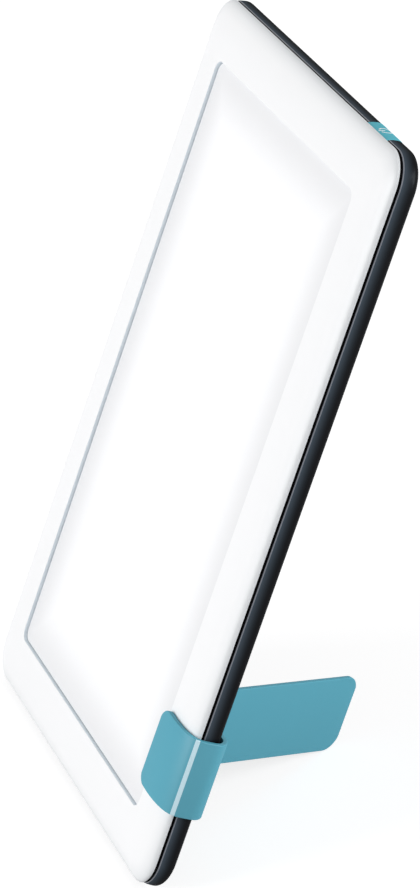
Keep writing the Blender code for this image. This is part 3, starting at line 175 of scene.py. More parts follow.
class CoverSizes(bpy.types.PropertyGroup):
    """The two covers and the window."""

    width: length("Width", "Across the covers", 156.0)
    height: length("Height", "From the lower edge to the upper one", 238.0)
    corner: length("Corner radius", "Of the outline, seen from the front", 10.0)
    seam: length("Seam", "Gap between the front cover and the rear one", 0.7)
    rise: length("Front rise", "How far the front face stands before the seam", 4.1)
    edge: length("Front edge", "Width of the front cover's rounded edge", 14.0)
    flat_corner: length("Flat corner", "Corner radius where the front turns flat", 3.0)
    wall: length("Front wall", "Wall of the front cover", 1.8)
    rim_inset: length("Rim inset", "How far the front cover's rim lies inside the outline", 0.3)
    rim_wall: length("Rim wall", "Thickness of that rim", 1.5)
    rim_ease: length("Rim ease", "How much further in the dressed rim lies than the packed one", 0.075)
    side_margin: length("Side margin", "From the outline to the window's side", 18.1)
    top_margin: length("Top margin", "From the outline to the window's top", 17.8)
    bottom_margin: length("Bottom margin", "From the outline to the window's lower edge", 19.2)
    window_corner: length("Window corner", "Corner radius of the window", 3.5)
    recess: length("Recess", "How deep the light panel lies in the window", 1.2)
    window_round: length("Window edge", "Rounding of the window's rim", 0.25)
    depth: length("Band depth", "From the seam to the flat of the back", 7.5)
    crown: share("Crown", "Where the band is widest, on its way to the back", 0.52)
    rear_edge: length("Rear edge", "Width of the band's rounded rear edge", 6.4)
    rear_corner: length("Rear corner", "Corner radius where the back turns flat", 6.0)
    ridge_inset: length("Ridge inset", "How far the band's ridge at the seam lies inside", 0.5)
    ridge_chamfer: length("Ridge chamfer", "Bevel of that ridge", 0.3)
    lip_wall: length("Lip wall", "Wall of the lip that the front cover fits over", 1.1)
    lip_rise: length("Lip rise", "How far the lip reaches past the seam", 0.2)
    rear_wall: length("Rear wall", "Wall of the flat back", 1.7)
    place_back: length("Place, back", "How far behind the origin the lamp's middle stands", 39.3401720)
    place_up: length("Place, up", "How high the lamp's middle stands", 113.0451337)


class HumpSizes(bpy.types.PropertyGroup):
    """The raised housing on the back, its inlet and the screws."""

    width: length("Width", "Across the hump", 72.0)
    height: length("Height", "Of the hump, up the back", 80.0)
    rise: length("Rise", "How far it stands from the back", 11.1)
    draft: length("Draft", "How far its walls lean in", 2.0)
    rounding: length("Rounding", "Radius of its outer edge", 2.0)
    corner: length("Corner radius", "Of its four corners", 9.0)
    drop: length("Drop", "How far its middle lies under the lamp's", 10.0)
    wall: length("Wall", "Of the hump", 1.8)
    inlet_depth: length("Inlet depth", "Of the inlet's block, front to back", 9.5)
    inlet_nose: length("Inlet nose", "Radius of the inlet where it shows", 4.0)
    inlet_bore: length("Inlet bore", "Radius of its bore", 3.1)
    inlet_reach: length("Bore depth", "How deep the bore runs", 9.5)
    screw_joint: length("Screw joint", "Where the covers' screw posts meet", 2.4)
    post: length("Post radius", "Of the posts round the screws", 3.2)
    head: length("Head radius", "Of the screws' heads", 2.2)
    head_height: length("Head height", "Of the screws' heads", 1.5)
    shank: length("Shank radius", "Of the screws", 1.1)
    bite: length("Bite", "How far the screws reach past the joint", 3.2)
    sink: length("Sink", "Depth of the wells that the heads lie in", 2.2)
    stack_end: length("Stack end", "From the window's end to the outside of the tray", 2.4)


class StandSizes(bpy.types.PropertyGroup):
    """The clip-on stand: one folded strip."""

    width: length("Width", "Of the strip", 26.0)
    thickness: length("Thickness", "Of the strip", 1.6)
    from_bottom: length("From bottom", "Height of the leg's lower edge on the lamp", 27.3)
    front_rise: length("Front rise", "How far the tongue's lower edge stands over the leg's", 1.1)
    clip_drop: length("Clip drop", "How much lower the clip's upper edge lies than the leg's", 0.9)
    tongue: length("Tongue", "How far it reaches over the front", 19.3)
    fold: angle("Front fold", "How far it follows the front cover's curve", 80.0)
    back_radius: length("Back radius", "Of its bend behind the lamp's edge", 4.0)
    tip_upper: length("Tip, upper", "Upper corner radius of the tongue", 4.5)
    tip_lower: length("Tip, lower", "Lower corner radius of the tongue", 3.5)
    rounding: length("Rounding", "Of its long edges", 0.3)
    leg_from_side: length("Leg place", "From the lamp's side to the leg's fold", 33.1)
    leg_fold: length("Leg fold", "Radius of the leg's fold", 2.8)
    leg_length: length("Leg length", "From its fold to its end", 80.5)
    leg_slant: angle("Leg slant", "Towards the lamp's middle", 27.5)
    end_upper: length("End, upper", "Upper corner radius of the leg", 5.0)
    end_lower: length("End, lower", "Lower corner radius of the leg", 6.0)
    # Where the painted highlight stripe lies on the clip's fold.
    highlight_start: length("Line start", "Where the polished line on the clip starts, from the fold", 1.08)
    line_width: length("Line width", "Of the polished line down the clip's fold", 0.84)


class KeySizes(bpy.types.PropertyGroup):
    """The power key in the upper edge, and the foot strip."""

    from_side: length("From side", "From the lamp's right side to the key's middle", 25.5)
    length: length("Length", "Of the key", 15.3)
    depth: length("Depth", "Of the key, front to back", 5.7)
    proud: length("Proud", "How far it stands over the band", 0.1)
    rounding: length("Rounding", "Of its two ends", 0.25)
    symbol: length("Symbol", "Radius of the power symbol's ring", 1.9)
    stroke: length("Stroke", "Width of the symbol's line", 0.5)
    gap: angle("Symbol gap", "Half of the opening in the ring", 32.0)
    foot_ribs: IntProperty(name="Foot ribs", description="Ribs along the foot strip", default=60, min=2)
    rib_depth: length("Rib depth", "Of the grooves between them", 0.15)


class LampFinishes(bpy.types.PropertyGroup):
    """Colours of the finishes, as they render in plain light; several of them hold painted light and shade.
    """

    front: colour("Front", "Glossy white of the front cover", (0.92, 0.925, 0.935))
    # Painted shade: the greyer white down the front cover's rounded edge, towards the seam.
    front_edge_shade: colour("Front edge", "The white where it meets the seam", (0.76, 0.785, 0.805))
    # Painted shade: a darker bluish grey on the window's recessed step.
    rim: colour("Window rim", "Of the step down to the light panel", (0.84, 0.92, 0.98))
    panel: colour("Light panel", "Opal of the lit window", (0.74, 0.742, 0.755))
    # Painted shade: the band's near black, where it turns away from the light behind the seam.
    band: colour("Band", "Anthracite of the rear cover", (0.004, 0.004, 0.0048))
    # Painted light: a paler copy of the stand's teal, for the light the key's upper face catches.
    key: colour("Key", "The power key's teal", (0.095, 0.510, 0.620))
    teal: colour("Teal", "Of the stand", (0.096, 0.372, 0.480))
    # Painted highlight: a pale stripe down the clip's fold, standing in for the light it reflects there.
    line: colour("Polished line", "On the fold of the clip", (0.62, 0.85, 0.94))
    symbol: colour("Symbol", "Print on the power key", (0.90, 0.95, 0.96))
    rubber: colour("Rubber", "Of the foot strip", (0.028, 0.028, 0.030))
    glow: amount("Glow", "Light that the panel gives off", 0.24)
    # Painted light: the slate tint stands in for the light the band catches near the seam.
    painted_slate: colour("Slate", "The band where it meets the seam", (0.062, 0.083, 0.107))
    # Painted highlight: the pale ridge stands in for light caught along the seam's edge.
    ridge: colour("Ridge", "The band's ridge along the seam", (0.200, 0.215, 0.250))
    back: colour("Back", "The rear cover's back", (0.020, 0.0215, 0.0245))
    back_gloss: amount("Back gloss", "Gloss of the back, seen straight on", 0.4)
    band_gloss: amount("Band gloss", "Gloss of the band, seen straight on", 0.15)


class StudioSettings(bpy.types.PropertyGroup):
    """Camera, lamps and floor."""

    eye: FloatVectorProperty(name="Camera", description="Where the camera stands", size=3,
                             default=(1.15650262, -0.32591, 0.68086823), subtype='TRANSLATION')
    turn: FloatVectorProperty(name="Camera turn", description="How the camera is turned", size=3,
                              default=(1.12973916, 0.03605384, 1.24271071), subtype='EULER')
    lens: amount("Lens", "Focal length in millimetres", 178.098)
    surround: amount("Surround", "Light from all round", 0.28)
    key: amount("Key", "Power of the soft lamp before the face, in watts", 20.0)
    side: amount("Side", "Power of the soft lamp at the right, in watts", 15.0)
    floor: colour("Floor", "Of the floor", (0.45, 0.45, 0.455))
    floor_glow: amount("Floor glow", "Added where the floor is seen", 0.75)


class LightLampSettings(bpy.types.PropertyGroup):
    """Everything that the sidebar shows."""

    cover: PointerProperty(type=CoverSizes)
    hump: PointerProperty(type=HumpSizes)
    stand: PointerProperty(type=StandSizes)
    key: PointerProperty(type=KeySizes)
    finish: PointerProperty(type=LampFinishes)
    studio: PointerProperty(type=StudioSettings)


def settings():
    """The settings kept on the scene."""
    return bpy.context.scene.light_lamp


def points_at(across, back, up):
    """Points from three arrays or numbers, spread over each other where their shapes differ."""
    return np.stack(np.broadcast_arrays(across, back, up), axis=-1)


def turned_back(points, turn):
    """Points turned back about X by an angle."""
    across, back, up = np.moveaxis(np.asarray(points, float), -1, 0)
    return points_at(across, back * math.cos(turn) + up * math.sin(turn),
                     up * math.cos(turn) - back * math.sin(turn))


def lamp_place():
    """Where the middle of the upright lamp's seam stands."""
    size = settings().cover
    return np.array((0.0, size.place_back, size.place_up))


def stand_up(points):
    """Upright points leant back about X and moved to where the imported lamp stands.

    y' = y cos(lean) + z sin(lean) and z' = z cos(lean) - y sin(lean), then the lamp's place is added.
    """
    return turned_back(points, lean()) + lamp_place()


def upright(points):
    """Points of the standing lamp, back in its own upright frame."""
    return turned_back(np.asarray(points, float) - lamp_place(), -lean())


def quarter(count):
    """Angles from nought to a right angle in even steps."""
    return np.linspace(0.0, math.pi / 2, count)


def once_round(count):
    """Angles once round a circle in even steps."""
    return np.linspace(0.0, math.tau, count, endpoint=False)


def outline(half_width, half_height, radius, centre=0.0):
    """A rounded rectangle as points (across, up), evenly counted whatever its size.

    Each corner is its arc's centre plus radius times (cos, sin) of a right angle's turn, and a straight
    side joins the end of each arc to the start of the next in equal steps.
    """
    signs = np.array([(1, 1), (-1, 1), (-1, -1), (1, -1)])
    middles = signs * (half_width - radius, half_height - radius)
    angles = (np.arange(4) * math.pi / 2)[:, None] + quarter(CORNER_STEPS + 1)[None, :]
    arcs = middles[:, None, :] + radius * np.stack([np.cos(angles), np.sin(angles)], axis=2)
    ends = arcs[:, -1]
    nexts = np.roll(arcs[:, 0], -1, axis=0)
    steps = np.linspace(0.0, 1.0, SIDE_STEPS + 1)[1:-1]
    sides = ends[:, None] * (1.0 - steps[None, :, None]) + nexts[:, None] * steps[None, :, None]
    ring = np.concatenate([arcs, sides], axis=1).reshape(-1, 2)
    ring[:, 1] += centre
    return ring


def loft(rings):
    """Rings at depths as a grid of points (across, depth, up), a row for each ring."""
    return np.stack([points_at(ring[:, 0], depth, ring[:, 1]) for ring, depth in rings])


def block_grid(half_width, half_depth, radius, middle, heights):
    """An upright block's grid: a rounded rectangle (across, back) about a middle, at each height."""
    ring = outline(half_width, half_depth, radius) + np.array(middle)
    return np.stack([points_at(ring[:, 0], ring[:, 1], height) for height in heights])


def cover_ring(inset, flat_corner, flat_inset):
    """The covers' outline moved in, with corners that tighten evenly on the way to the flat."""
    size = settings().cover
    radius = size.corner - (size.corner - flat_corner) * inset / flat_inset
    return outline(size.width / 2 - inset, size.height / 2 - inset, radius)


def grid_faces(rows, columns, first=0, close_rows=False):
    """Quads of a grid whose columns run round in a ring, and whose rows do too if close_rows."""
    row = np.arange(rows if close_rows else rows - 1)[:, None]
    column = np.arange(columns)[None, :]
    after = (row + 1) % rows
    beside = (column + 1) % columns
    quads = np.stack([row * columns + column, row * columns + beside, after * columns + beside,
                      after * columns + column], axis=2)
    return (quads.reshape(-1, 4) + first).tolist()


def capped_faces(rows, columns, first=0):
    """The quads of an open grid of rings, and a cap at each end."""
    last = first + (rows - 1) * columns
    return grid_faces(rows, columns, first) + [list(range(first, first + columns)),
                                               list(range(last, last + columns))]


def tidy_mesh(name, points, faces, slots=None):
    """A mesh with its doubles merged, its faces turned outward and its sharp edges kept."""
    mesh = bpy.data.meshes.new(name)
    mesh.from_pydata(np.asarray(points, float).tolist(), [], faces)
    if slots is not None:
        mesh.polygons.foreach_set("material_index", np.asarray(slots, np.int32))
    work = bmesh.new()
    work.from_mesh(mesh)
    bmesh.ops.remove_doubles(work, verts=work.verts, dist=MERGE)
    bmesh.ops.dissolve_degenerate(work, edges=work.edges, dist=MERGE)
    bmesh.ops.recalc_face_normals(work, faces=work.faces)
    work.to_mesh(mesh)
    work.free()
    mesh.shade_smooth()
    mesh.set_sharp_from_angle(angle=SHARP)
    return mesh


def shell_mesh(name, grid, close_rows=False, slots=None):
    """A closed mesh from a grid of rings, with a cap at each end unless the rows close on themselves.

    The slots are a grid of material numbers, one for each quad.
    """
    rows, columns = grid.shape[:2]
    faces = grid_faces(rows, columns, close_rows=True) if close_rows else capped_faces(rows, columns)
    numbers = np.zeros(len(faces), int)
    if slots is not None:
        numbers[:slots.size] = slots.ravel()
    return tidy_mesh(name, grid.reshape(-1, 3), faces, numbers)


def joined_grids(grids):
    """The points and faces of several capped grids that become one mesh."""
    points = np.concatenate([grid.reshape(-1, 3) for grid in grids])
    firsts = np.cumsum([0] + [grid.size // 3 for grid in grids])
    faces = []
    for grid, first in zip(grids, firsts.tolist()):
        faces += capped_faces(*grid.shape[:2], first)
    return points, faces


def turned(name, profile, centre, along, steps=ROUND_STEPS):
    """A surface of revolution: radius times (cos, sin) about an axis, at the profile's heights along it.

    A flat closes it at each end of the profile.
    """
    along = Vector(along).normalized()
    side = along.orthogonal().normalized()
    other = along.cross(side)
    profile = np.array([(0.0, profile[0][1]), *profile, (0.0, profile[-1][1])])
    angles = once_round(steps)
    spread = np.cos(angles)[:, None] * np.array(side) + np.sin(angles)[:, None] * np.array(other)
    grid = np.array(centre) + profile[:, 0][:, None, None] * spread[None] \
        + profile[:, 1][:, None, None] * np.array(along)
    return shell_mesh(name, grid)


def mesh_points(mesh):
    """The mesh's points, a row for each."""
    points = np.zeros(len(mesh.vertices) * 3)
    mesh.vertices.foreach_get("co", points)
    return points.reshape(-1, 3)


def keep_values(mesh, name, values):
    """Write a value for each point, which a finish reads by its name."""
    kept = mesh.attributes.new(name, 'FLOAT', 'POINT')
    kept.data.foreach_set("value", values.astype(np.float32))


def keep_depths(mesh):
    """Write how far behind the seam each point of a standing mesh lies, in millimetres."""
    keep_values(mesh, "from_seam", upright(mesh_points(mesh))[:, 1] / MM)


def linked(name, data):
    """A new object in the scene."""
    made = bpy.data.objects.new(name, data)
    bpy.context.scene.collection.objects.link(made)
    return made


def add_piece(name, mesh, body, materials, replaced=()):
    """Link a finished mesh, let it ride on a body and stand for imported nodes."""
    piece = linked(name, mesh)
    for material in materials:
        mesh.materials.append(material)
    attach(piece, body)
    if replaced:
        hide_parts(*replaced)


def finished_mesh(work):
    """A new mesh with the object's modifiers applied."""
    graph = bpy.context.evaluated_depsgraph_get()
    return bpy.data.meshes.new_from_object(work.evaluated_get(graph), depsgraph=graph)


def cut_and_join(name, base, joined, cut):
    """The base mesh with others joined on and then cut away, worked out by exact Booleans.

    The normals are evened out in a second step, once the new sharp edges are known.
    """
    work = linked(name, base)
    things = [work]
    for operation, meshes in (('UNION', joined), ('DIFFERENCE', cut)):
        for mesh in meshes:
            mesh.materials.append(base.materials[0])
            step = work.modifiers.new(mesh.name, 'BOOLEAN')
            step.object = linked(mesh.name, mesh)
            step.operation = operation
            step.solver = 'EXACT'
            things.append(step.object)
    result = finished_mesh(work)
    result.set_sharp_from_angle(angle=SHARP)
    things.append(linked(name, result))
    things[-1].modifiers.new("even_shading", 'WEIGHTED_NORMAL').keep_sharp = True
    result = finished_mesh(things[-1])
    result.name = name
    for thing in things:
        bpy.data.objects.remove(thing)
    if not result.polygons:
        raise RuntimeError(name + " came out empty")
    return result


def feed(tree, socket, value):
    """Link a socket to another one, or give it a value of its own."""
    if isinstance(value, bpy.types.NodeSocket):
        tree.links.new(value, socket)
    else:
        socket.default_value = value


def node(tree, kind, inputs, result, **chosen):
    """One output of a new shader node, with its choices made and its inputs linked or given values."""
    made = tree.nodes.new(kind)
    for name, value in chosen.items():
        setattr(made, name, value)
    for name, value in inputs.items():
        feed(tree, made.inputs[name], value)
    return made.outputs[result]


def arithmetic(tree, operation, first, second):
    """One step of arithmetic on two sockets or numbers."""
    return node(tree, "ShaderNodeMath", {0: first, 1: second}, "Value", operation=operation)


def mixed(tree, amount, first, second):
    """A tint that runs from one to another."""
    inputs = {"Factor": amount, "A": first, "B": second}
    return node(tree, "ShaderNodeMix", inputs, "Result", data_type='RGBA')


def ranged(tree, value, span, low, high, smooth=False):
    """A value that runs from low to high while another one runs over a span."""
    inputs = {"Value": value, "From Min": span[0], "From Max": span[1], "To Min": low, "To Max": high}
    kind = 'SMOOTHSTEP' if smooth else 'LINEAR'
    return node(tree, "ShaderNodeMapRange", inputs, "Result", interpolation_type=kind)


def object_place(tree):
    """The place on the object itself, which no motion changes."""
    return node(tree, "ShaderNodeTexCoord", {}, "Object")


def shade(material, inputs):
    """Feed the material's shader."""
    tree = material.node_tree
    for name, value in inputs.items():
        feed(tree, tree.nodes["Principled BSDF"].inputs[name], value)


def fade(material, attribute, span, low=0.0, high=1.0, smooth=True):
    """A value that runs from low to high while a mesh attribute runs over a span."""
    tree = material.node_tree
    kept = node(tree, "ShaderNodeAttribute", {}, "Fac", attribute_name=attribute)
    return ranged(tree, kept, span, low, high, smooth)


def blend_tint(material, amount, tint):
    """Let the material's tint run over into another one."""
    tree = material.node_tree
    now = tree.nodes["Principled BSDF"].inputs["Base Color"].links[0].from_socket
    shade(material, {"Base Color": mixed(tree, amount, now, (*tint, 1.0))})


def finish(name, tint, roughness, grain=900.0, grain_depth=0.02, spread=0.04, fleck=0.03, metallic=0.0,
           specular=0.5):
    """A moulded or metal finish: tint and gloss that vary softly, and a fine grain on the surface."""
    material = bpy.data.materials.new(name + "_finish")
    material.use_nodes = True
    tree = material.node_tree
    place = object_place(tree)
    broad = node(tree, "ShaderNodeTexNoise", {"Vector": place, "Scale": 35.0, "Detail": 3.0}, "Fac")
    fine = node(tree, "ShaderNodeTexNoise", {"Vector": place, "Scale": grain, "Detail": 2.0}, "Fac")
    bump = {"Height": fine, "Strength": grain_depth, "Distance": 0.1 * MM}
    darker = (*[part * (1.0 - fleck) for part in tint], 1.0)
    paler = (*[min(part * (1.0 + fleck), 1.0) for part in tint], 1.0)
    gloss = ranged(tree, broad, (0.0, 1.0), max(roughness - spread, 0.02), roughness + spread)
    shade(material, {"Metallic": metallic, "Specular IOR Level": specular, "Roughness": gloss,
                     "Base Color": mixed(tree, broad, darker, paler),
                     "Normal": node(tree, "ShaderNodeBump", bump, "Normal")})
    return material


def fade_gloss(material, level, power):
    """Let the gloss die away towards grazing angles: its level times (1 - facing)^power."""
    tree = material.node_tree
    facing = node(tree, "ShaderNodeLayerWeight", {"Blend": 0.5}, "Facing")
    straight = arithmetic(tree, 'POWER', arithmetic(tree, 'SUBTRACT', 1.0, facing), power)
    shade(material, {"Specular IOR Level": arithmetic(tree, 'MULTIPLY', straight, level)})


def front_finish():
    """The front cover's white gloss, with painted shade: greyer down its rounded edge, as its own attribute
    says.
    """
    look = settings().finish
    material = finish("white_gloss", look.front, 0.4, grain=1200.0, grain_depth=0.01, fleck=0.006,
                      spread=0.03)
    # Painted shade: the white greys down the rounded edge, where it turns away from the light.
    blend_tint(material, fade(material, "from_seam", FRONT_EDGE_SHADE_FADE, smooth=False), look.front_edge_shade)
    return material


def panel_finish():
    """Opal acrylic that glows as the lamp's light, with painted shade: the glow dims towards its rim, as the
    piece's own attribute says.
    """
    look = settings().finish
    material = finish("opal_light_panel", look.panel, 0.4, fleck=0.008)
    # Painted shade: the glow falls towards the rim, standing in for the shade near the window's walls.
    glow = fade(material, "from_rim", PANEL_SHADE_FADE, look.glow * PANEL_RIM_SHADE_GLOW, look.glow)
    shade(material, {"Emission Strength": glow, "Emission Color": COOL_WHITE})
    return material


def teal_finish(name, tint):
    """Satin teal plastic, whose gloss dies away towards grazing angles."""
    material = finish(name, tint, 0.42, grain=700.0, grain_depth=0.05, fleck=0.025)
    fade_gloss(material, level=0.5, power=2.0)
    return material


def band_finish():
    """The rear cover's anthracite with painted light and shade: slate at the seam is painted light, the near
    black behind it is painted shade, and the flat back is paler.

    A tint's share is 1 - (1 - near)^2, where near is one at the seam or on the back and fades to nought.
    """
    look = settings().finish
    material = finish("anthracite", look.band, 0.35, grain=1100.0, fleck=0.06)
    shade(material, {"Specular Tint": COOL_GLOSS})
    tree = material.node_tree
    # Painted light and shade: slate fades in towards the seam over the band's near black; the back's paler
    # tint comes in over the flat back.
    seam = fade(material, "from_seam", PAINTED_SLATE_FADE, 1.0, 0.0, smooth=False)
    for near, tint in ((fade(material, "from_seam", BACK_FADE), look.back),
                       (arithmetic(tree, 'POWER', seam, PAINTED_SLATE_POWER), look.painted_slate)):
        rest = arithmetic(tree, 'POWER', arithmetic(tree, 'SUBTRACT', 1.0, near), 2.0)
        blend_tint(material, arithmetic(tree, 'SUBTRACT', 1.0, rest), tint)
    level = fade(material, "from_seam", BACK_FADE, look.band_gloss, look.back_gloss)
    fade_gloss(material, level, power=3.0)
    return material


def ridge_highlight_finish():
    """Painted highlight: the band's thin bright ridge along the seam."""
    return finish("slate_ridge", settings().finish.ridge, 0.4, grain=1100.0)


def seam_shade_finish():
    """Painted shade: near black on the ridge's bevel, the ledge and the lip inside the seam, standing in for
    the shadow in the gap.
    """
    return finish("seam_black", (0.002, 0.002, 0.003), 0.8, grain=1100.0, specular=0.05)


def front_curve(turn, rim_inset, face):
    """Inset and depth on a quarter ellipse from the front face, at 0, to the rim, at a right angle."""
    size = settings().cover
    seam = -size.seam / 2
    return (size.edge - (size.edge - rim_inset) * np.sin(turn), seam + (face - seam) * np.cos(turn))


def edge_ring(turn, rim_inset, face):
    """A ring on the front cover's rounded edge, and its depth."""
    size = settings().cover
    inset, depth = front_curve(turn, rim_inset, face)
    return cover_ring(inset, size.flat_corner, size.edge), depth


def window_sizes():
    """Half the window's width, half its height and how high its middle lies."""
    size = settings().cover
    return (size.width / 2 - size.side_margin, (size.height - size.top_margin - size.bottom_margin) / 2,
            (size.bottom_margin - size.top_margin) / 2)


def window_ring(grow):
    """The window's outline, grown or shrunk by a length."""
    half_width, half_height, centre = window_sizes()
    return outline(half_width + grow, half_height + grow, settings().cover.window_corner + grow, centre)


class LAMP_OT_front_cover(bpy.types.Operator):
    """Build the white front cover with its window"""

    bl_idname = "lamp.front_cover"
    bl_label = "Front cover"

    def execute(self, context):
        """One closed wall: its section runs over the rounded edge, into the window and back inside.

        The edge is a quarter ellipse swept round the outline, and the window's rim a quarter circle.
        """
        size = settings().cover
        face = -size.rise
        inner = face + size.wall
        turns = quarter(EDGE_STEPS + 1)
        outer = [edge_ring(turn, size.rim_inset + size.rim_ease, face) for turn in turns[::-1]]
        flat = [(window_ring(size.window_round + grow), face) for grow in FLAT_RINGS]
        rim = [(window_ring(size.window_round * (1.0 - math.sin(turn))),
                face + size.window_round * (1.0 - math.cos(turn))) for turn in quarter(SMALL_ROUND)[1:]]
        wall = [(window_ring(0.0), depth) for depth in (face + size.recess, inner)]
        hidden = [edge_ring(turn, size.rim_inset + size.rim_wall, inner) for turn in turns]
        grid = loft(outer + flat + rim + wall + hidden)
        slots = np.zeros(grid.shape[:2], int)
        after = len(outer + flat + rim)
        slots[after - 3:after + len(wall) - 1] = 1  # painted shade, from half-way round the rim down to the panel
        mesh = shell_mesh("front_cover", stand_up(grid), close_rows=True, slots=slots)
        keep_depths(mesh)
        # Painted shade: the recessed step gets a darker bluish grey, standing in for the shade in the
        # recess.
        rim_shade_tint = finish("window_rim", settings().finish.rim, 0.35, grain=1200.0,
                          grain_depth=0.01, fleck=0.01)
        add_piece("front_cover", mesh, "lamp", [front_finish(), rim_shade_tint], ["front_shell"])
        return {'FINISHED'}


class LAMP_OT_light_panel(bpy.types.Operator):
    """Build the opal light panel in the window"""

    bl_idname = "lamp.light_panel"
    bl_label = "Light panel"

    def execute(self, context):
        """A plate whose front is a nest of rings, each the window's outline moved in by more.

        Every point keeps how far in it lies, for the glow and its painted shade at the rim: its least gap to
        a side, over half the width.
        """
        size = settings().cover
        inner = -size.rise + size.wall + FIT_GAP
        face = -size.rise + size.recess
        half_width, half_height, centre = window_sizes()
        half_width -= FIT_GAP
        half_height -= FIT_GAP
        insets = half_width * np.linspace(0.0, 1.0, PANEL_RINGS) ** PANEL_CROWDING
        rings = [(outline(half_width - inset, half_height - inset,
                          max(size.window_corner - FIT_GAP - inset, 0.0), centre), face)
                 for inset in insets[::-1]]
        rings.append((rings[-1][0], inner))
        low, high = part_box("diffuser_panel")
        flange = outline((high.x - low.x) / 2, half_height + settings().hump.stack_end,
                         size.window_corner, centre)
        rings += [(flange, depth) for depth in (inner, inner + PANEL_FLANGE)]
        mesh = shell_mesh("light_panel", stand_up(loft(rings)))
        across, _, up = np.abs(upright(mesh_points(mesh)) - (0.0, 0.0, centre)).T
        gap = np.minimum(half_width - across, half_height - up)
        keep_values(mesh, "from_rim", np.clip(gap / half_width, 0.0, 1.0))
        add_piece("light_panel", mesh, "lamp", [panel_finish()], ["diffuser_panel"])
        return {'FINISHED'}


def band_stations():
    """How far behind the seam the band's crown and its ridge lie."""
    size = settings().cover
    return size.depth * size.crown, size.seam / 2 + size.ridge_chamfer


def rear_curve(turn):
    """Inset and depth on the quarter ellipse from the band's crown, at 0, to the flat back."""
    size = settings().cover
    crown = band_stations()[0]
    return size.rear_edge * (1.0 - np.cos(turn)), crown + (size.depth - crown) * np.sin(turn)


def band_inset(depth):
    """How far the band lies inside the outline: a parabola before its crown, a quarter ellipse behind."""
    size = settings().cover
    crown, ridge = band_stations()
    before = size.ridge_inset * (np.maximum(crown - depth, 0.0) / (crown - ridge)) ** 2
    behind = np.clip((depth - crown) / (size.depth - crown), 0.0, 1.0)
    return before + size.rear_edge * (1.0 - np.sqrt(1.0 - behind ** 2))


def hump_grid(shrink, base, back):
    """The hump as rings whose walls lean in evenly and end in a quarter circle."""
    size = settings().hump
    cover = settings().cover
    corner = size.corner - shrink
    rounding = size.rounding * corner / size.corner
    shoulder = back - rounding
    slope = size.draft / size.rise
    half_width = size.width / 2 - shrink
    half_height = size.height / 2 - shrink
    rings = [(outline(half_width, half_height, corner, -size.drop), base)]
    for turn in quarter(HUMP_ROUND):
        inset = (shoulder - cover.depth) * slope + rounding * (1.0 - math.cos(turn))
        rings.append((outline(half_width - inset, half_height - inset, corner - inset, -size.drop),
                      shoulder + rounding * math.sin(turn)))
    return loft(rings)


def screw_places():
    """Where the screws sit on the upright lamp, as (across, up)."""
    boxes = np.array([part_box(name) for name in SCREW_NAMES])
    return upright(boxes.mean(axis=1))[:, [0, 2]]


def inlet_axis():
    """How far back the inlet's axis lies."""
    size = settings().hump
    return settings().cover.depth + size.rise - size.wall - FIT_GAP - size.inlet_depth / 2


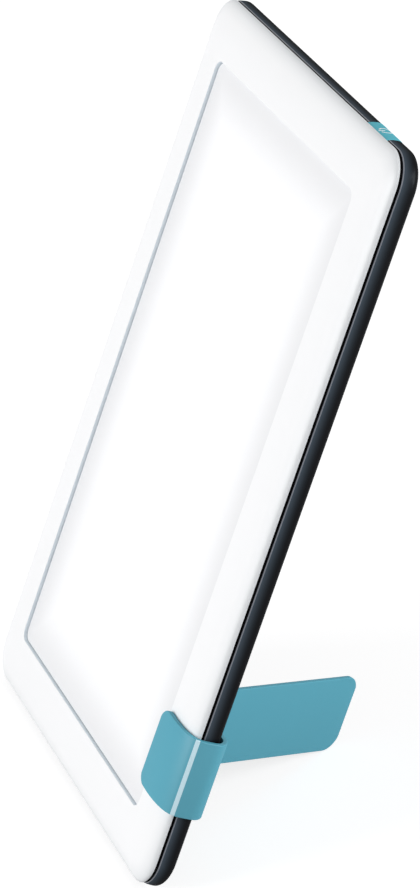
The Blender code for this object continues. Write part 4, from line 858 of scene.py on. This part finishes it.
class LAMP_OT_rear_cover(bpy.types.Operator):
    """Build the dark rear cover with its band, hump, wells and openings"""

    bl_idname = "lamp.rear_cover"
    bl_label = "Rear cover"

    def execute(self, context):
        """A dish swept round the outline: the band's section is a parabola before its crown and a quarter
        ellipse behind it. The hump is joined on, and wells, inlet hole, key slot and foot seat are cut.
        """
        lamp = settings()
        size = lamp.cover
        hump = lamp.hump
        front = -size.seam / 2 - size.lip_rise
        lip = size.rim_inset + size.rim_wall + FIT_GAP
        inner = size.depth - size.rear_wall
        dish = self.dish(size, front, lip, inner)
        back = size.depth + hump.rise
        amid = inner + size.rear_wall / 2
        joined = [shell_mesh("hump", hump_grid(0.0, amid, back))]
        cut = [shell_mesh("hump_hollow", hump_grid(hump.wall, inner - OVERCUT, back - hump.wall))]
        joint = hump.screw_joint + FIT_GAP
        below = hump.screw_joint - OVERCUT
        seat = size.depth - hump.sink
        well = hump.head + FIT_GAP
        hole = hump.shank + FIT_GAP
        post = [(hump.post, joint), (hump.post, amid)]
        sunk = [(hole, below), (hole, seat), (well, seat), (well, size.depth + OVERCUT)]
        for number, (across, up) in enumerate(screw_places()):
            place = ((across, 0.0, up), (0.0, 1.0, 0.0))
            joined.append(turned(f"post_{number}", post, *place, POST_STEPS))
            cut.append(turned(f"well_{number}", sunk, *place, WELL_STEPS))
        nose = hump.inlet_nose + FIT_GAP
        mouth = (0.0, inlet_axis(), -hump.drop - hump.height / 2)
        cut.append(turned("inlet_hole", [(nose, -OVERCUT), (nose, 3 * hump.wall)], mouth, (0.0, 0.0, 1.0)))
        cut.append(self.key_slot(lamp, front - OVERCUT, lip + size.lip_wall))
        cut.append(self.foot_seat())
        mesh = cut_and_join("rear_cover", dish, joined, cut)
        mesh.vertices.foreach_set("co", stand_up(mesh_points(mesh)).ravel())
        mesh.update()
        keep_depths(mesh)
        add_piece("rear_cover", mesh, "lamp", [], ["rear_housing"])
        return {'FINISHED'}

    def dish(self, size, front, lip, inner):
        """The band, the ledge and lip inside the seam and the flat back, with their three finishes: the
        band's own, a painted highlight on the ridge and painted shade in the seam.
        """
        crown, ridge = band_stations()
        section = [rear_curve(turn) for turn in quarter(EDGE_STEPS + 1)[::-1]]
        section += [(band_inset(depth), depth) for depth in np.linspace(crown, ridge, EDGE_STEPS)[1:]]
        band = len(section)
        section += [(size.ridge_inset + size.ridge_chamfer, size.seam / 2), (lip, size.seam / 2),
                    (lip, front), (lip + size.lip_wall, front), (lip + size.lip_wall, inner)]
        grid = loft([(cover_ring(inset, size.rear_corner, size.rear_edge), depth)
                     for inset, depth in section])
        slots = np.zeros((grid.shape[0] - 1, grid.shape[1]), int)
        slots[band - 3:band - 1] = 1  # the ridge's painted highlight: the band's last two strips
        slots[band - 1:band + 3] = 2  # painted shade on its bevel, the ledge and the lip
        dish = shell_mesh("dish", grid, slots=slots)
        for material in (band_finish(), ridge_highlight_finish(), seam_shade_finish()):
            dish.materials.append(material)
        return dish

    def key_slot(self, lamp, front, lip):
        """The slot in the band for the power key: a block with small round corners."""
        size = lamp.cover
        rear = -size.seam / 2 + FIT_GAP + lamp.key.depth + FIT_GAP
        middle = (size.width / 2 - lamp.key.from_side, (rear + front) / 2)
        heights = (size.height / 2 - lip - OVERCUT, size.height / 2 + OVERCUT)
        return shell_mesh("key_slot", block_grid(lamp.key.length / 2 + FIT_GAP, (rear - front) / 2,
                                                 SLOT_CORNER, middle, heights))

    def foot_seat(self):
        """The groove that holds the foot strip, level with the floor and so turned the lean's other way."""
        low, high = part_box("foot_strip")
        grid = block_grid((high.x - low.x) / 2 + FIT_GAP, (high.y - low.y) / 2 + FIT_GAP, FIT_GAP,
                          (0.0, (low.y + high.y) / 2), (low.z - OVERCUT, high.z + FIT_GAP))
        return shell_mesh("foot_seat", upright(grid))


def strip_path():
    """The strip's inner side in plan, and how far along it each point lies.

    It follows the front cover's ellipse at a small gap, turns round the side in an arc, runs over the
    back, and folds away from it in another arc into the straight leg.
    """
    size = settings().stand
    cover = settings().cover
    half = cover.width / 2
    seam = -cover.seam / 2
    front = -cover.rise - FIT_GAP
    points = [np.array([(half - size.tongue, front), (half - cover.edge, front)])]
    turns = np.linspace(0.0, size.fold, CLIP_FOLD_STEPS)[1:]
    inset, depth = front_curve(turns, cover.rim_inset, -cover.rise)
    normal = np.stack([(seam + cover.rise) * np.sin(turns),
                       -(cover.edge - cover.rim_inset) * np.cos(turns)], axis=1)
    normal /= np.linalg.norm(normal, axis=1)[:, None]
    points.append(np.stack([half - inset, depth], axis=1) + FIT_GAP * normal)
    side = half + FIT_GAP
    rear = cover.depth + FIT_GAP
    points.append(np.array([(side, cover.seam / 2)]))
    arc = quarter(BACK_BEND_STEPS)
    points.append(np.stack([side - size.back_radius + size.back_radius * np.cos(arc),
                            rear - size.back_radius + size.back_radius * np.sin(arc)], axis=1))
    turned_by = math.pi / 2 - size.leg_slant
    tangent = size.leg_fold * math.tan(turned_by / 2)
    fold = half - size.leg_from_side
    arc = np.linspace(-math.pi / 2, -math.pi / 2 - turned_by, LEG_FOLD_STEPS)
    points.append(np.stack([fold + tangent + size.leg_fold * np.cos(arc),
                            rear + size.leg_fold + size.leg_fold * np.sin(arc)], axis=1))
    points.append(np.array([(fold - size.leg_length * math.sin(size.leg_slant),
                             rear + size.leg_length * math.cos(size.leg_slant))]))
    path = np.concatenate(points)
    lengths = np.concatenate(([0.0], np.cumsum(np.linalg.norm(np.diff(path, axis=0), axis=1))))
    return path, lengths


def corner_drop(distance, radius):
    """How far a round corner cuts in, at a distance from the end: radius less the circle's height."""
    missing = np.clip(radius - distance, 0.0, radius)
    return radius - np.sqrt(radius ** 2 - missing ** 2)


class LAMP_OT_stand_clip(bpy.types.Operator):
    """Build the teal clip-on stand"""

    bl_idname = "lamp.stand_clip"
    bl_label = "Stand"

    def execute(self, context):
        """A flat section with round edges carried along the folded path.

        At each station the section is a rounded rectangle between the strip's lower and upper edge, which
        close in along a circle at both ends. The faces on the clip's fold get a painted highlight, a pale
        stripe.
        """
        lamp = settings()
        size = lamp.stand
        path, lengths = strip_path()
        total = lengths[-1]
        steps = 1.0 - np.cos(quarter(STRIP_CORNER_STEPS))
        line = self.highlight_places(lamp, path, lengths)
        extra = [radius * steps for radius in (size.tip_upper, size.tip_lower, size.rounding)]
        extra += [total - radius * steps for radius in (size.end_upper, size.end_lower, size.rounding)]
        extra += [line, np.linspace(total - size.leg_length, total, LEG_STEPS)[1:-1]]
        places = np.unique(np.round(np.concatenate([lengths] + extra), PLACE_DIGITS))
        middle = np.stack([np.interp(places, lengths, path[:, axis]) for axis in (0, 1)], axis=1)
        ahead = np.gradient(middle, places, axis=0)
        ahead /= np.linalg.norm(ahead, axis=1)[:, None]
        outward = np.stack([ahead[:, 1], -ahead[:, 0]], axis=1)
        bottom = size.from_bottom - lamp.cover.height / 2
        bend = size.tongue + lamp.cover.depth + FIT_GAP
        rise = size.front_rise * np.clip(1.0 - places / bend, 0.0, 1.0)
        narrower = size.clip_drop * np.interp(places, (bend, total - size.leg_length), (1.0, 0.0))
        end = np.minimum(places, total - places)
        pinch = corner_drop(end, size.rounding)
        low = bottom + rise + corner_drop(places, size.tip_lower) \
            + corner_drop(total - places, size.end_lower)
        high = bottom + size.width + rise - narrower - corner_drop(places, size.tip_upper) \
            - corner_drop(total - places, size.end_upper)
        across, upper, lift = self.section(size)
        thick = pinch[:, None] + (size.thickness - 2 * pinch)[:, None] * across
        height = (low + pinch)[:, None] + (high - low - 2 * pinch)[:, None] * upper + lift
        grid = points_at(middle[:, :1] + outward[:, :1] * thick, middle[:, 1:] + outward[:, 1:] * thick,
                         height)
        slots = np.zeros((len(places) - 1, grid.shape[1]), int)
        along = (places[1:] + places[:-1]) / 2
        slots[(along > line[0]) & (along < line[1]), :2 * SMALL_ROUND - 1] = 1  # the painted highlight stripe, on the outer side
        mesh = shell_mesh("stand_clip", stand_up(grid), slots=slots)
        # Painted highlight: a pale teal stripe on the fold's outer faces, standing in for a reflection.
        painted_highlight = finish("polished_teal_line", lamp.finish.line, 0.2, grain=700.0, grain_depth=0.01,
                          fleck=0.01)
        satin = teal_finish("stand_teal", lamp.finish.teal)
        add_piece("stand_clip", mesh, "stand", [satin, painted_highlight], ["stand_strip"])
        return {'FINISHED'}

    def section(self, size):
        """Round the section: share of the thickness, share of the height, and how far the rounding moves
        a point up from the lower edge or down from the upper one. Both edges are half circles.
        """
        turns = quarter(SMALL_ROUND)
        rising = 1.0 - np.cos(turns)
        falling = 1.0 - np.sin(turns)
        eased = np.concatenate([-falling, -rising, falling, rising]) * size.rounding / size.thickness
        across = np.repeat([1.0, 0.0], 2 * SMALL_ROUND) + eased
        upper = np.repeat([0.0, 1.0, 1.0, 0.0], SMALL_ROUND)
        return across, upper, size.rounding * np.concatenate([rising, -falling, -rising, falling])

    def highlight_places(self, lamp, path, lengths):
        """Where the painted highlight stripe starts and ends along the strip, measured from where it meets
        the side.
        """
        side = lamp.cover.width / 2 + FIT_GAP
        at_side = lengths[np.argmax(path[:, 0] > side - HAIR)]
        start = at_side - lamp.stand.highlight_start - lamp.stand.line_width
        return np.array([start, start + lamp.stand.line_width])


def key_surface(depth):
    """How high the key's face lies at a depth: the band's own curve, and a little proud of it."""
    size = settings().cover
    return size.height / 2 - band_inset(depth) + settings().key.proud


class LAMP_OT_power_key(bpy.types.Operator):
    """Build the teal power key and its symbol"""

    bl_idname = "lamp.power_key"
    bl_label = "Power key"

    def execute(self, context):
        """The key's face is the band's curve carried across, eased down at both ends by a quarter circle.

        Its side view is a closed loop in depth and height, and each station across moves that loop in.
        """
        lamp = settings()
        size = lamp.key
        cover = lamp.cover
        front = -cover.seam / 2 + FIT_GAP
        rear = front + size.depth
        middle = cover.width / 2 - size.from_side
        floor = cover.height / 2 - cover.rim_inset - cover.rim_wall - cover.lip_wall - 3 * FIT_GAP
        turns = quarter(KEY_ROUND)
        ends = size.rounding * (1.0 - np.sin(turns))
        insets = size.rounding * (1.0 - np.cos(turns)) - size.length / 2
        across = np.concatenate([insets, -insets[::-1]])[:, None]
        drops = np.concatenate([ends, ends[::-1]])[:, None]
        depths = np.clip(np.linspace(front, rear, KEY_STEPS), front + drops / 2, rear - drops / 2)
        loop_depth = np.concatenate([depths, depths[:, -1:], depths[:, :1]], axis=1)
        loop_up = np.concatenate([key_surface(depths) - drops, np.full((len(drops), 2), floor)], axis=1)
        cap = shell_mesh("power_key", stand_up(points_at(middle + across, loop_depth, loop_up)))
        # Painted light: the key's teal is a paler copy of the stand's, for the light that falls on its upper
        # face.
        add_piece("power_key", cap, "button",
                  [teal_finish("key_teal", lamp.finish.key)], ["power_button"])
        self.symbol(lamp, middle, (front + rear) / 2)
        return {'FINISHED'}

    def symbol(self, lamp, middle, depth):
        """The power symbol: a ring open at its top and a bar, as thin bands laid on the key's curve.

        The ring's points are radius plus or minus half a stroke times (sin, -cos), and the bar's a strip
        from its inside to past its opening. Their height is the key's own at that depth.
        """
        size = lamp.key
        edges = size.stroke / 2 * np.array([-1.0, 1.0])
        angles = np.linspace(size.gap, math.tau - size.gap, SYMBOL_STEPS)[:, None]
        radii = size.symbol + edges
        reach = size.symbol * np.linspace(*BAR_ENDS, BAR_STEPS)[:, None]
        bands = (self.raised(middle + radii * np.sin(angles), depth - radii * np.cos(angles)),
                 self.raised(middle + edges, depth + reach))
        points, faces = joined_grids(bands)
        mesh = tidy_mesh("power_symbol", stand_up(points), faces)
        print_finish = finish("symbol_print", lamp.finish.symbol, 0.45, fleck=0.01)
        add_piece("power_symbol", mesh, "button", [print_finish])

    def raised(self, across, back):
        """A thin closed band from rows of its two edges: its top lies just over the key, its base in it."""
        up = key_surface(back)
        top = points_at(across, back, up + HAIR)
        return np.concatenate([top, points_at(across, back, up - PRINT_SINK)[:, ::-1]], axis=1)


class LAMP_OT_foot_grip(bpy.types.Operator):
    """Build the ribbed rubber foot strip"""

    bl_idname = "lamp.foot_grip"
    bl_label = "Foot strip"

    def execute(self, context):
        """A bar whose underside is a row of shallow ribs: its height there is the rib depth times the
        square of a cosine along the strip, so that the ribs' crowns touch the floor.
        """
        size = settings().key
        low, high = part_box("foot_strip")
        middle = (low + high) / 2
        half_width = (high.y - low.y) / 2
        along = np.linspace(low.x, high.x, size.foot_ribs * RIB_STEPS + 1)
        wave = np.cos(math.pi * size.foot_ribs * (along - low.x) / (high.x - low.x)) ** 2
        turns = quarter(FOOT_ROUND)
        side = half_width - FOOT_ROUNDING * (1.0 - np.sin(turns))
        rise = FOOT_ROUNDING * (1.0 - np.cos(turns))
        under = np.linspace(-1.0, 1.0, SOLE_STEPS) * (half_width - FOOT_ROUNDING)
        back = np.concatenate([under, side, [half_width, -half_width], -side[::-1]])
        up = np.concatenate([np.zeros(SOLE_STEPS), rise, [high.z - low.z, high.z - low.z], rise[::-1]])
        ribbed = np.where(up < FOOT_ROUNDING, 1.0 - up / FOOT_ROUNDING, 0.0)
        end = np.clip(np.minimum(along - low.x, high.x - along) / FOOT_ROUNDING, 0.0, 1.0)
        ease = FOOT_ROUNDING * (1.0 - np.sqrt(1.0 - (1.0 - end) ** 2))
        lift = (size.rib_depth * wave + ease)[:, None] * ribbed
        grid = points_at(along[:, None], middle.y + back, low.z + up + lift)
        mesh = shell_mesh("foot_grip", grid)
        rubber = finish("foot_rubber", settings().finish.rubber, 0.8, grain=1500.0,
                        grain_depth=0.2, fleck=0.15, specular=0.3)
        add_piece("foot_grip", mesh, "lamp", [rubber], ["foot_strip"])
        return {'FINISHED'}


class LAMP_OT_case_screws(bpy.types.Operator):
    """Build the sunk screws of the back"""

    bl_idname = "lamp.case_screws"
    bl_label = "Case screws"

    def execute(self, context):
        """Each screw is a grid of rings round its axis, set at its place in the back."""
        lamp = settings()
        screw = self.screw(lamp.hump, lamp.cover.depth - lamp.hump.sink + FIT_GAP)
        points, faces = joined_grids([screw + (across, 0.0, up) for across, up in screw_places()])
        mesh = tidy_mesh("case_screws", stand_up(points), faces)
        steel = finish("plated_steel", (0.50, 0.51, 0.53), 0.32, grain=600.0, grain_depth=0.05, metallic=1.0)
        add_piece("case_screws", mesh, "lamp", [steel], SCREW_NAMES)
        return {'FINISHED'}

    def screw(self, size, seat):
        """One screw as rings from the tip of its shank to the middle of its head, with a cross pressed in.

        The head's edge is a quarter circle. The cross is full depth within half a slot's width of either
        arm, and eases out over a small band, as a product of smooth steps of the distance to the arms.
        """
        tip = size.screw_joint - size.bite
        turns = quarter(SMALL_ROUND)[1:]
        edge = size.head_height / 3
        crown = seat + size.head_height
        flat = np.linspace(size.head - edge, HAIR, HEAD_RINGS)[1:]
        radii = np.concatenate([[0.0, size.shank / 2, size.shank, size.shank, size.head, size.head],
                                size.head - edge + edge * np.cos(turns), flat])[:, None]
        heights = np.concatenate([[tip, tip, tip + size.shank / 2, seat, seat, crown - edge],
                                  crown - edge + edge * np.sin(turns), np.full(len(flat), crown)])
        angles = once_round(ROUND_STEPS)
        across = radii * np.cos(angles)
        up = radii * np.sin(angles)
        reach = [self.within(np.abs(place), size.head * CROSS_REACH) for place in (across, up)]
        slot = [self.within(np.abs(place), size.head * CROSS_WIDTH) for place in (across, up)]
        cross = np.maximum(slot[0] * reach[1], slot[1] * reach[0])
        cross[:-len(flat)] = 0.0
        return points_at(across, heights[:, None] - CROSS_DEPTH * size.head_height * cross, up)

    def within(self, distance, limit):
        """One within the limit, then a smooth step down to nought over a small band."""
        step = np.clip((distance - limit) / CROSS_EASE, 0.0, 1.0)
        return 1.0 - step * step * (3.0 - 2.0 * step)


class LAMP_OT_inlet(bpy.types.Operator):
    """Build the spring sleeve in the power inlet's bore"""

    bl_idname = "lamp.inlet"
    bl_label = "Power inlet"

    def execute(self, context):
        """A thin tube turned about the inlet's axis, whose mouth is rolled as a half circle."""
        size = settings().hump
        mouth = -size.drop - size.height / 2 + size.draft
        outer = size.inlet_bore - HAIR
        inner = outer - SLEEVE_WALL
        end = size.inlet_reach * SLEEVE_REACH
        bead = (outer - inner) / 2
        turns = np.linspace(-math.pi / 2, math.pi / 2, MOUTH_STEPS)
        radii = np.concatenate([(outer + inner) / 2 + bead * np.sin(turns), [outer, inner]])[:, None]
        heights = np.concatenate([SLEEVE_START - bead * np.cos(turns), [end, end]])[:, None]
        angles = once_round(SLEEVE_STEPS)
        grid = points_at(radii * np.cos(angles), inlet_axis() + radii * np.sin(angles), mouth + heights)
        mesh = shell_mesh("inlet_sleeve", stand_up(grid), close_rows=True)
        spring = finish("sleeve_metal", (0.62, 0.60, 0.56), 0.3, metallic=1.0, grain=500.0)
        add_piece("inlet_sleeve", mesh, "lamp", [spring])
        return {'FINISHED'}


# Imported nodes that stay, each with its finish's name, tint, roughness and metallic share.
PACKED_FINISHES = (
    (("power_inlet", "driver_coil", "driver_chip", "power_switch"), "black_plastic",
     (0.018, 0.018, 0.020), 0.45, 0.0),
    (("inlet_pin",), "pin_brass", (0.72, 0.62, 0.38), 0.25, 1.0),
    (("control_board", "switch_board"), "green_board", (0.02, 0.14, 0.07), 0.4, 0.0),
    (("led_strip_left", "led_strip_right"), "white_board", (0.84, 0.85, 0.83), 0.45, 0.0),
    (("backlight_tray",), "tray_aluminium", (0.70, 0.71, 0.73), 0.4, 1.0),
    (("capacitor_1", "capacitor_2", "board_screw_1", "board_screw_2", "board_screw_3", "board_screw_4"),
     "board_steel", (0.55, 0.56, 0.58), 0.35, 1.0),
    (("lead_block_left", "lead_block_right", "lead_block_switch", "switch_plunger"), "pale_plastic",
     (0.78, 0.77, 0.72), 0.5, 0.0),
    (("led_lead_left", "led_lead_right", "switch_lead", "inlet_lead_left", "inlet_lead_right"),
     "lead_sleeve", (0.45, 0.03, 0.03), 0.5, 0.0),
    (("diffusing_film", "reflector_film", "light_guide"), "pale_film", (0.90, 0.91, 0.92), 0.35, 0.0),
)


class LAMP_OT_inner_parts(bpy.types.Operator):
    """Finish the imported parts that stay"""

    bl_idname = "lamp.inner_parts"
    bl_label = "Inner parts"

    def execute(self, context):
        """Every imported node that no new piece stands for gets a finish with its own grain."""
        for names, label, tint, roughness, metallic in PACKED_FINISHES:
            material = finish(label, tint, roughness, metallic=metallic, grain_depth=0.06, fleck=0.06)
            for name in names:
                mesh = frame["nodes"][name].data
                mesh.materials.clear()
                mesh.materials.append(material)
        return {'FINISHED'}


class LAMP_OT_studio(bpy.types.Operator):
    """Set up the floor, the soft lamps and the camera"""

    bl_idname = "lamp.studio"
    bl_label = "Studio"

    def execute(self, context):
        """A pale floor, an even surround, two broad lamps and the camera at the photograph's angle."""
        scene = context.scene
        studio = scene.light_lamp.studio
        self.add_floor(studio)
        self.add_surround(scene, studio)
        for name, power, place, aim, size in SOFT_LAMPS:
            self.add_lamp(name, getattr(studio, power), place, aim, size)
        camera = linked("camera", bpy.data.cameras.new("camera"))
        camera.location = studio.eye
        camera.rotation_euler = studio.turn
        camera.data.lens = studio.lens
        scene.camera = camera
        scene.view_settings.view_transform = 'Standard'
        return {'FINISHED'}

    def add_floor(self, studio):
        """A broad disc just under the lamp, which looks white to the camera but for the lamp's shadow."""
        angles = once_round(FLOOR_STEPS)
        rim = points_at(FLOOR_RADIUS * np.cos(angles), FLOOR_RADIUS * np.sin(angles), -FLOOR_DROP)
        mesh = bpy.data.meshes.new("floor")
        mesh.from_pydata(rim.tolist(), [], [list(range(FLOOR_STEPS))])
        material = finish("pale_floor", studio.floor, 0.9, grain=60.0, grain_depth=0.0, fleck=0.0,
                          specular=0.0)
        tree = material.node_tree
        far = node(tree, "ShaderNodeVectorMath", {0: object_place(tree)}, "Value", operation='LENGTH')
        glow = ranged(tree, far, FLOOR_FADE, studio.floor_glow, FAR_GLOW, smooth=True)
        shade(material, {"Emission Color": WHITE,
                         "Emission Strength": arithmetic(tree, 'MULTIPLY', self.seen(tree), glow)})
        mesh.materials.append(material)
        linked("floor", mesh)

    def seen(self, tree):
        """One for rays from the camera, off gloss and through glass, and nought for the rest."""
        camera, gloss, glass = [node(tree, "ShaderNodeLightPath", {}, ray)
                                for ray in ("Is Camera Ray", "Is Glossy Ray", "Is Transmission Ray")]
        return arithmetic(tree, 'MAXIMUM', arithmetic(tree, 'MAXIMUM', camera, gloss), glass)

    def add_surround(self, scene, studio):
        """A pale world: white to the camera, and an even soft light to everything else."""
        scene.world = bpy.data.worlds.new("surround")
        scene.world.use_nodes = True
        tree = scene.world.node_tree
        light = tree.nodes["Background"]
        light.inputs["Color"].default_value = WHITE
        extra = arithmetic(tree, 'MULTIPLY', self.seen(tree), 1.0 - studio.surround)
        feed(tree, light.inputs["Strength"], arithmetic(tree, 'ADD', extra, studio.surround))

    def add_lamp(self, name, power, place, aim, size):
        """A square soft lamp that faces a point."""
        data = bpy.data.lights.new(name, 'AREA')
        data.energy = power
        data.size = size
        lamp = linked(name, data)
        lamp.location = place
        lamp.rotation_euler = (Vector(aim) - Vector(place)).to_track_quat('-Z', 'Y').to_euler()


OPERATORS = (LAMP_OT_front_cover, LAMP_OT_light_panel, LAMP_OT_rear_cover, LAMP_OT_stand_clip,
             LAMP_OT_power_key, LAMP_OT_foot_grip, LAMP_OT_case_screws, LAMP_OT_inlet, LAMP_OT_inner_parts,
             LAMP_OT_studio)
GROUPS = (CoverSizes, HumpSizes, StandSizes, KeySizes, LampFinishes, StudioSettings, LightLampSettings)


class LAMP_PT_sidebar(bpy.types.Panel):
    """The lamp's pieces and settings in the sidebar"""

    bl_idname = "LAMP_PT_sidebar"
    bl_label = "Light therapy lamp"
    bl_space_type = 'VIEW_3D'
    bl_region_type = 'UI'
    bl_category = "Lamp"

    def draw(self, context):
        """A button for each piece, then the settings of each group."""
        for operator in OPERATORS:
            self.layout.operator(operator.bl_idname)
        lamp = settings()
        for group in ("cover", "hump", "stand", "key", "finish", "studio"):
            box = self.layout.box()
            box.label(text=group.capitalize())
            values = getattr(lamp, group)
            for name in values.__annotations__:
                box.prop(values, name)


def register():
    """Register the settings, the operators and the panel."""
    for item in GROUPS + OPERATORS + (LAMP_PT_sidebar,):
        bpy.utils.register_class(item)
    bpy.types.Scene.light_lamp = PointerProperty(type=LightLampSettings)


def unregister():
    """Undo what register() does."""
    del bpy.types.Scene.light_lamp
    for item in reversed(GROUPS + OPERATORS + (LAMP_PT_sidebar,)):
        bpy.utils.unregister_class(item)


def main():
    """Build every piece and the studio."""
    register()
    bpy.ops.lamp.front_cover()
    bpy.ops.lamp.light_panel()
    bpy.ops.lamp.rear_cover()
    bpy.ops.lamp.stand_clip()
    bpy.ops.lamp.power_key()
    bpy.ops.lamp.foot_grip()
    bpy.ops.lamp.case_screws()
    bpy.ops.lamp.inlet()
    bpy.ops.lamp.inner_parts()
    bpy.ops.lamp.studio()


if __name__ == "__main__":
    main()
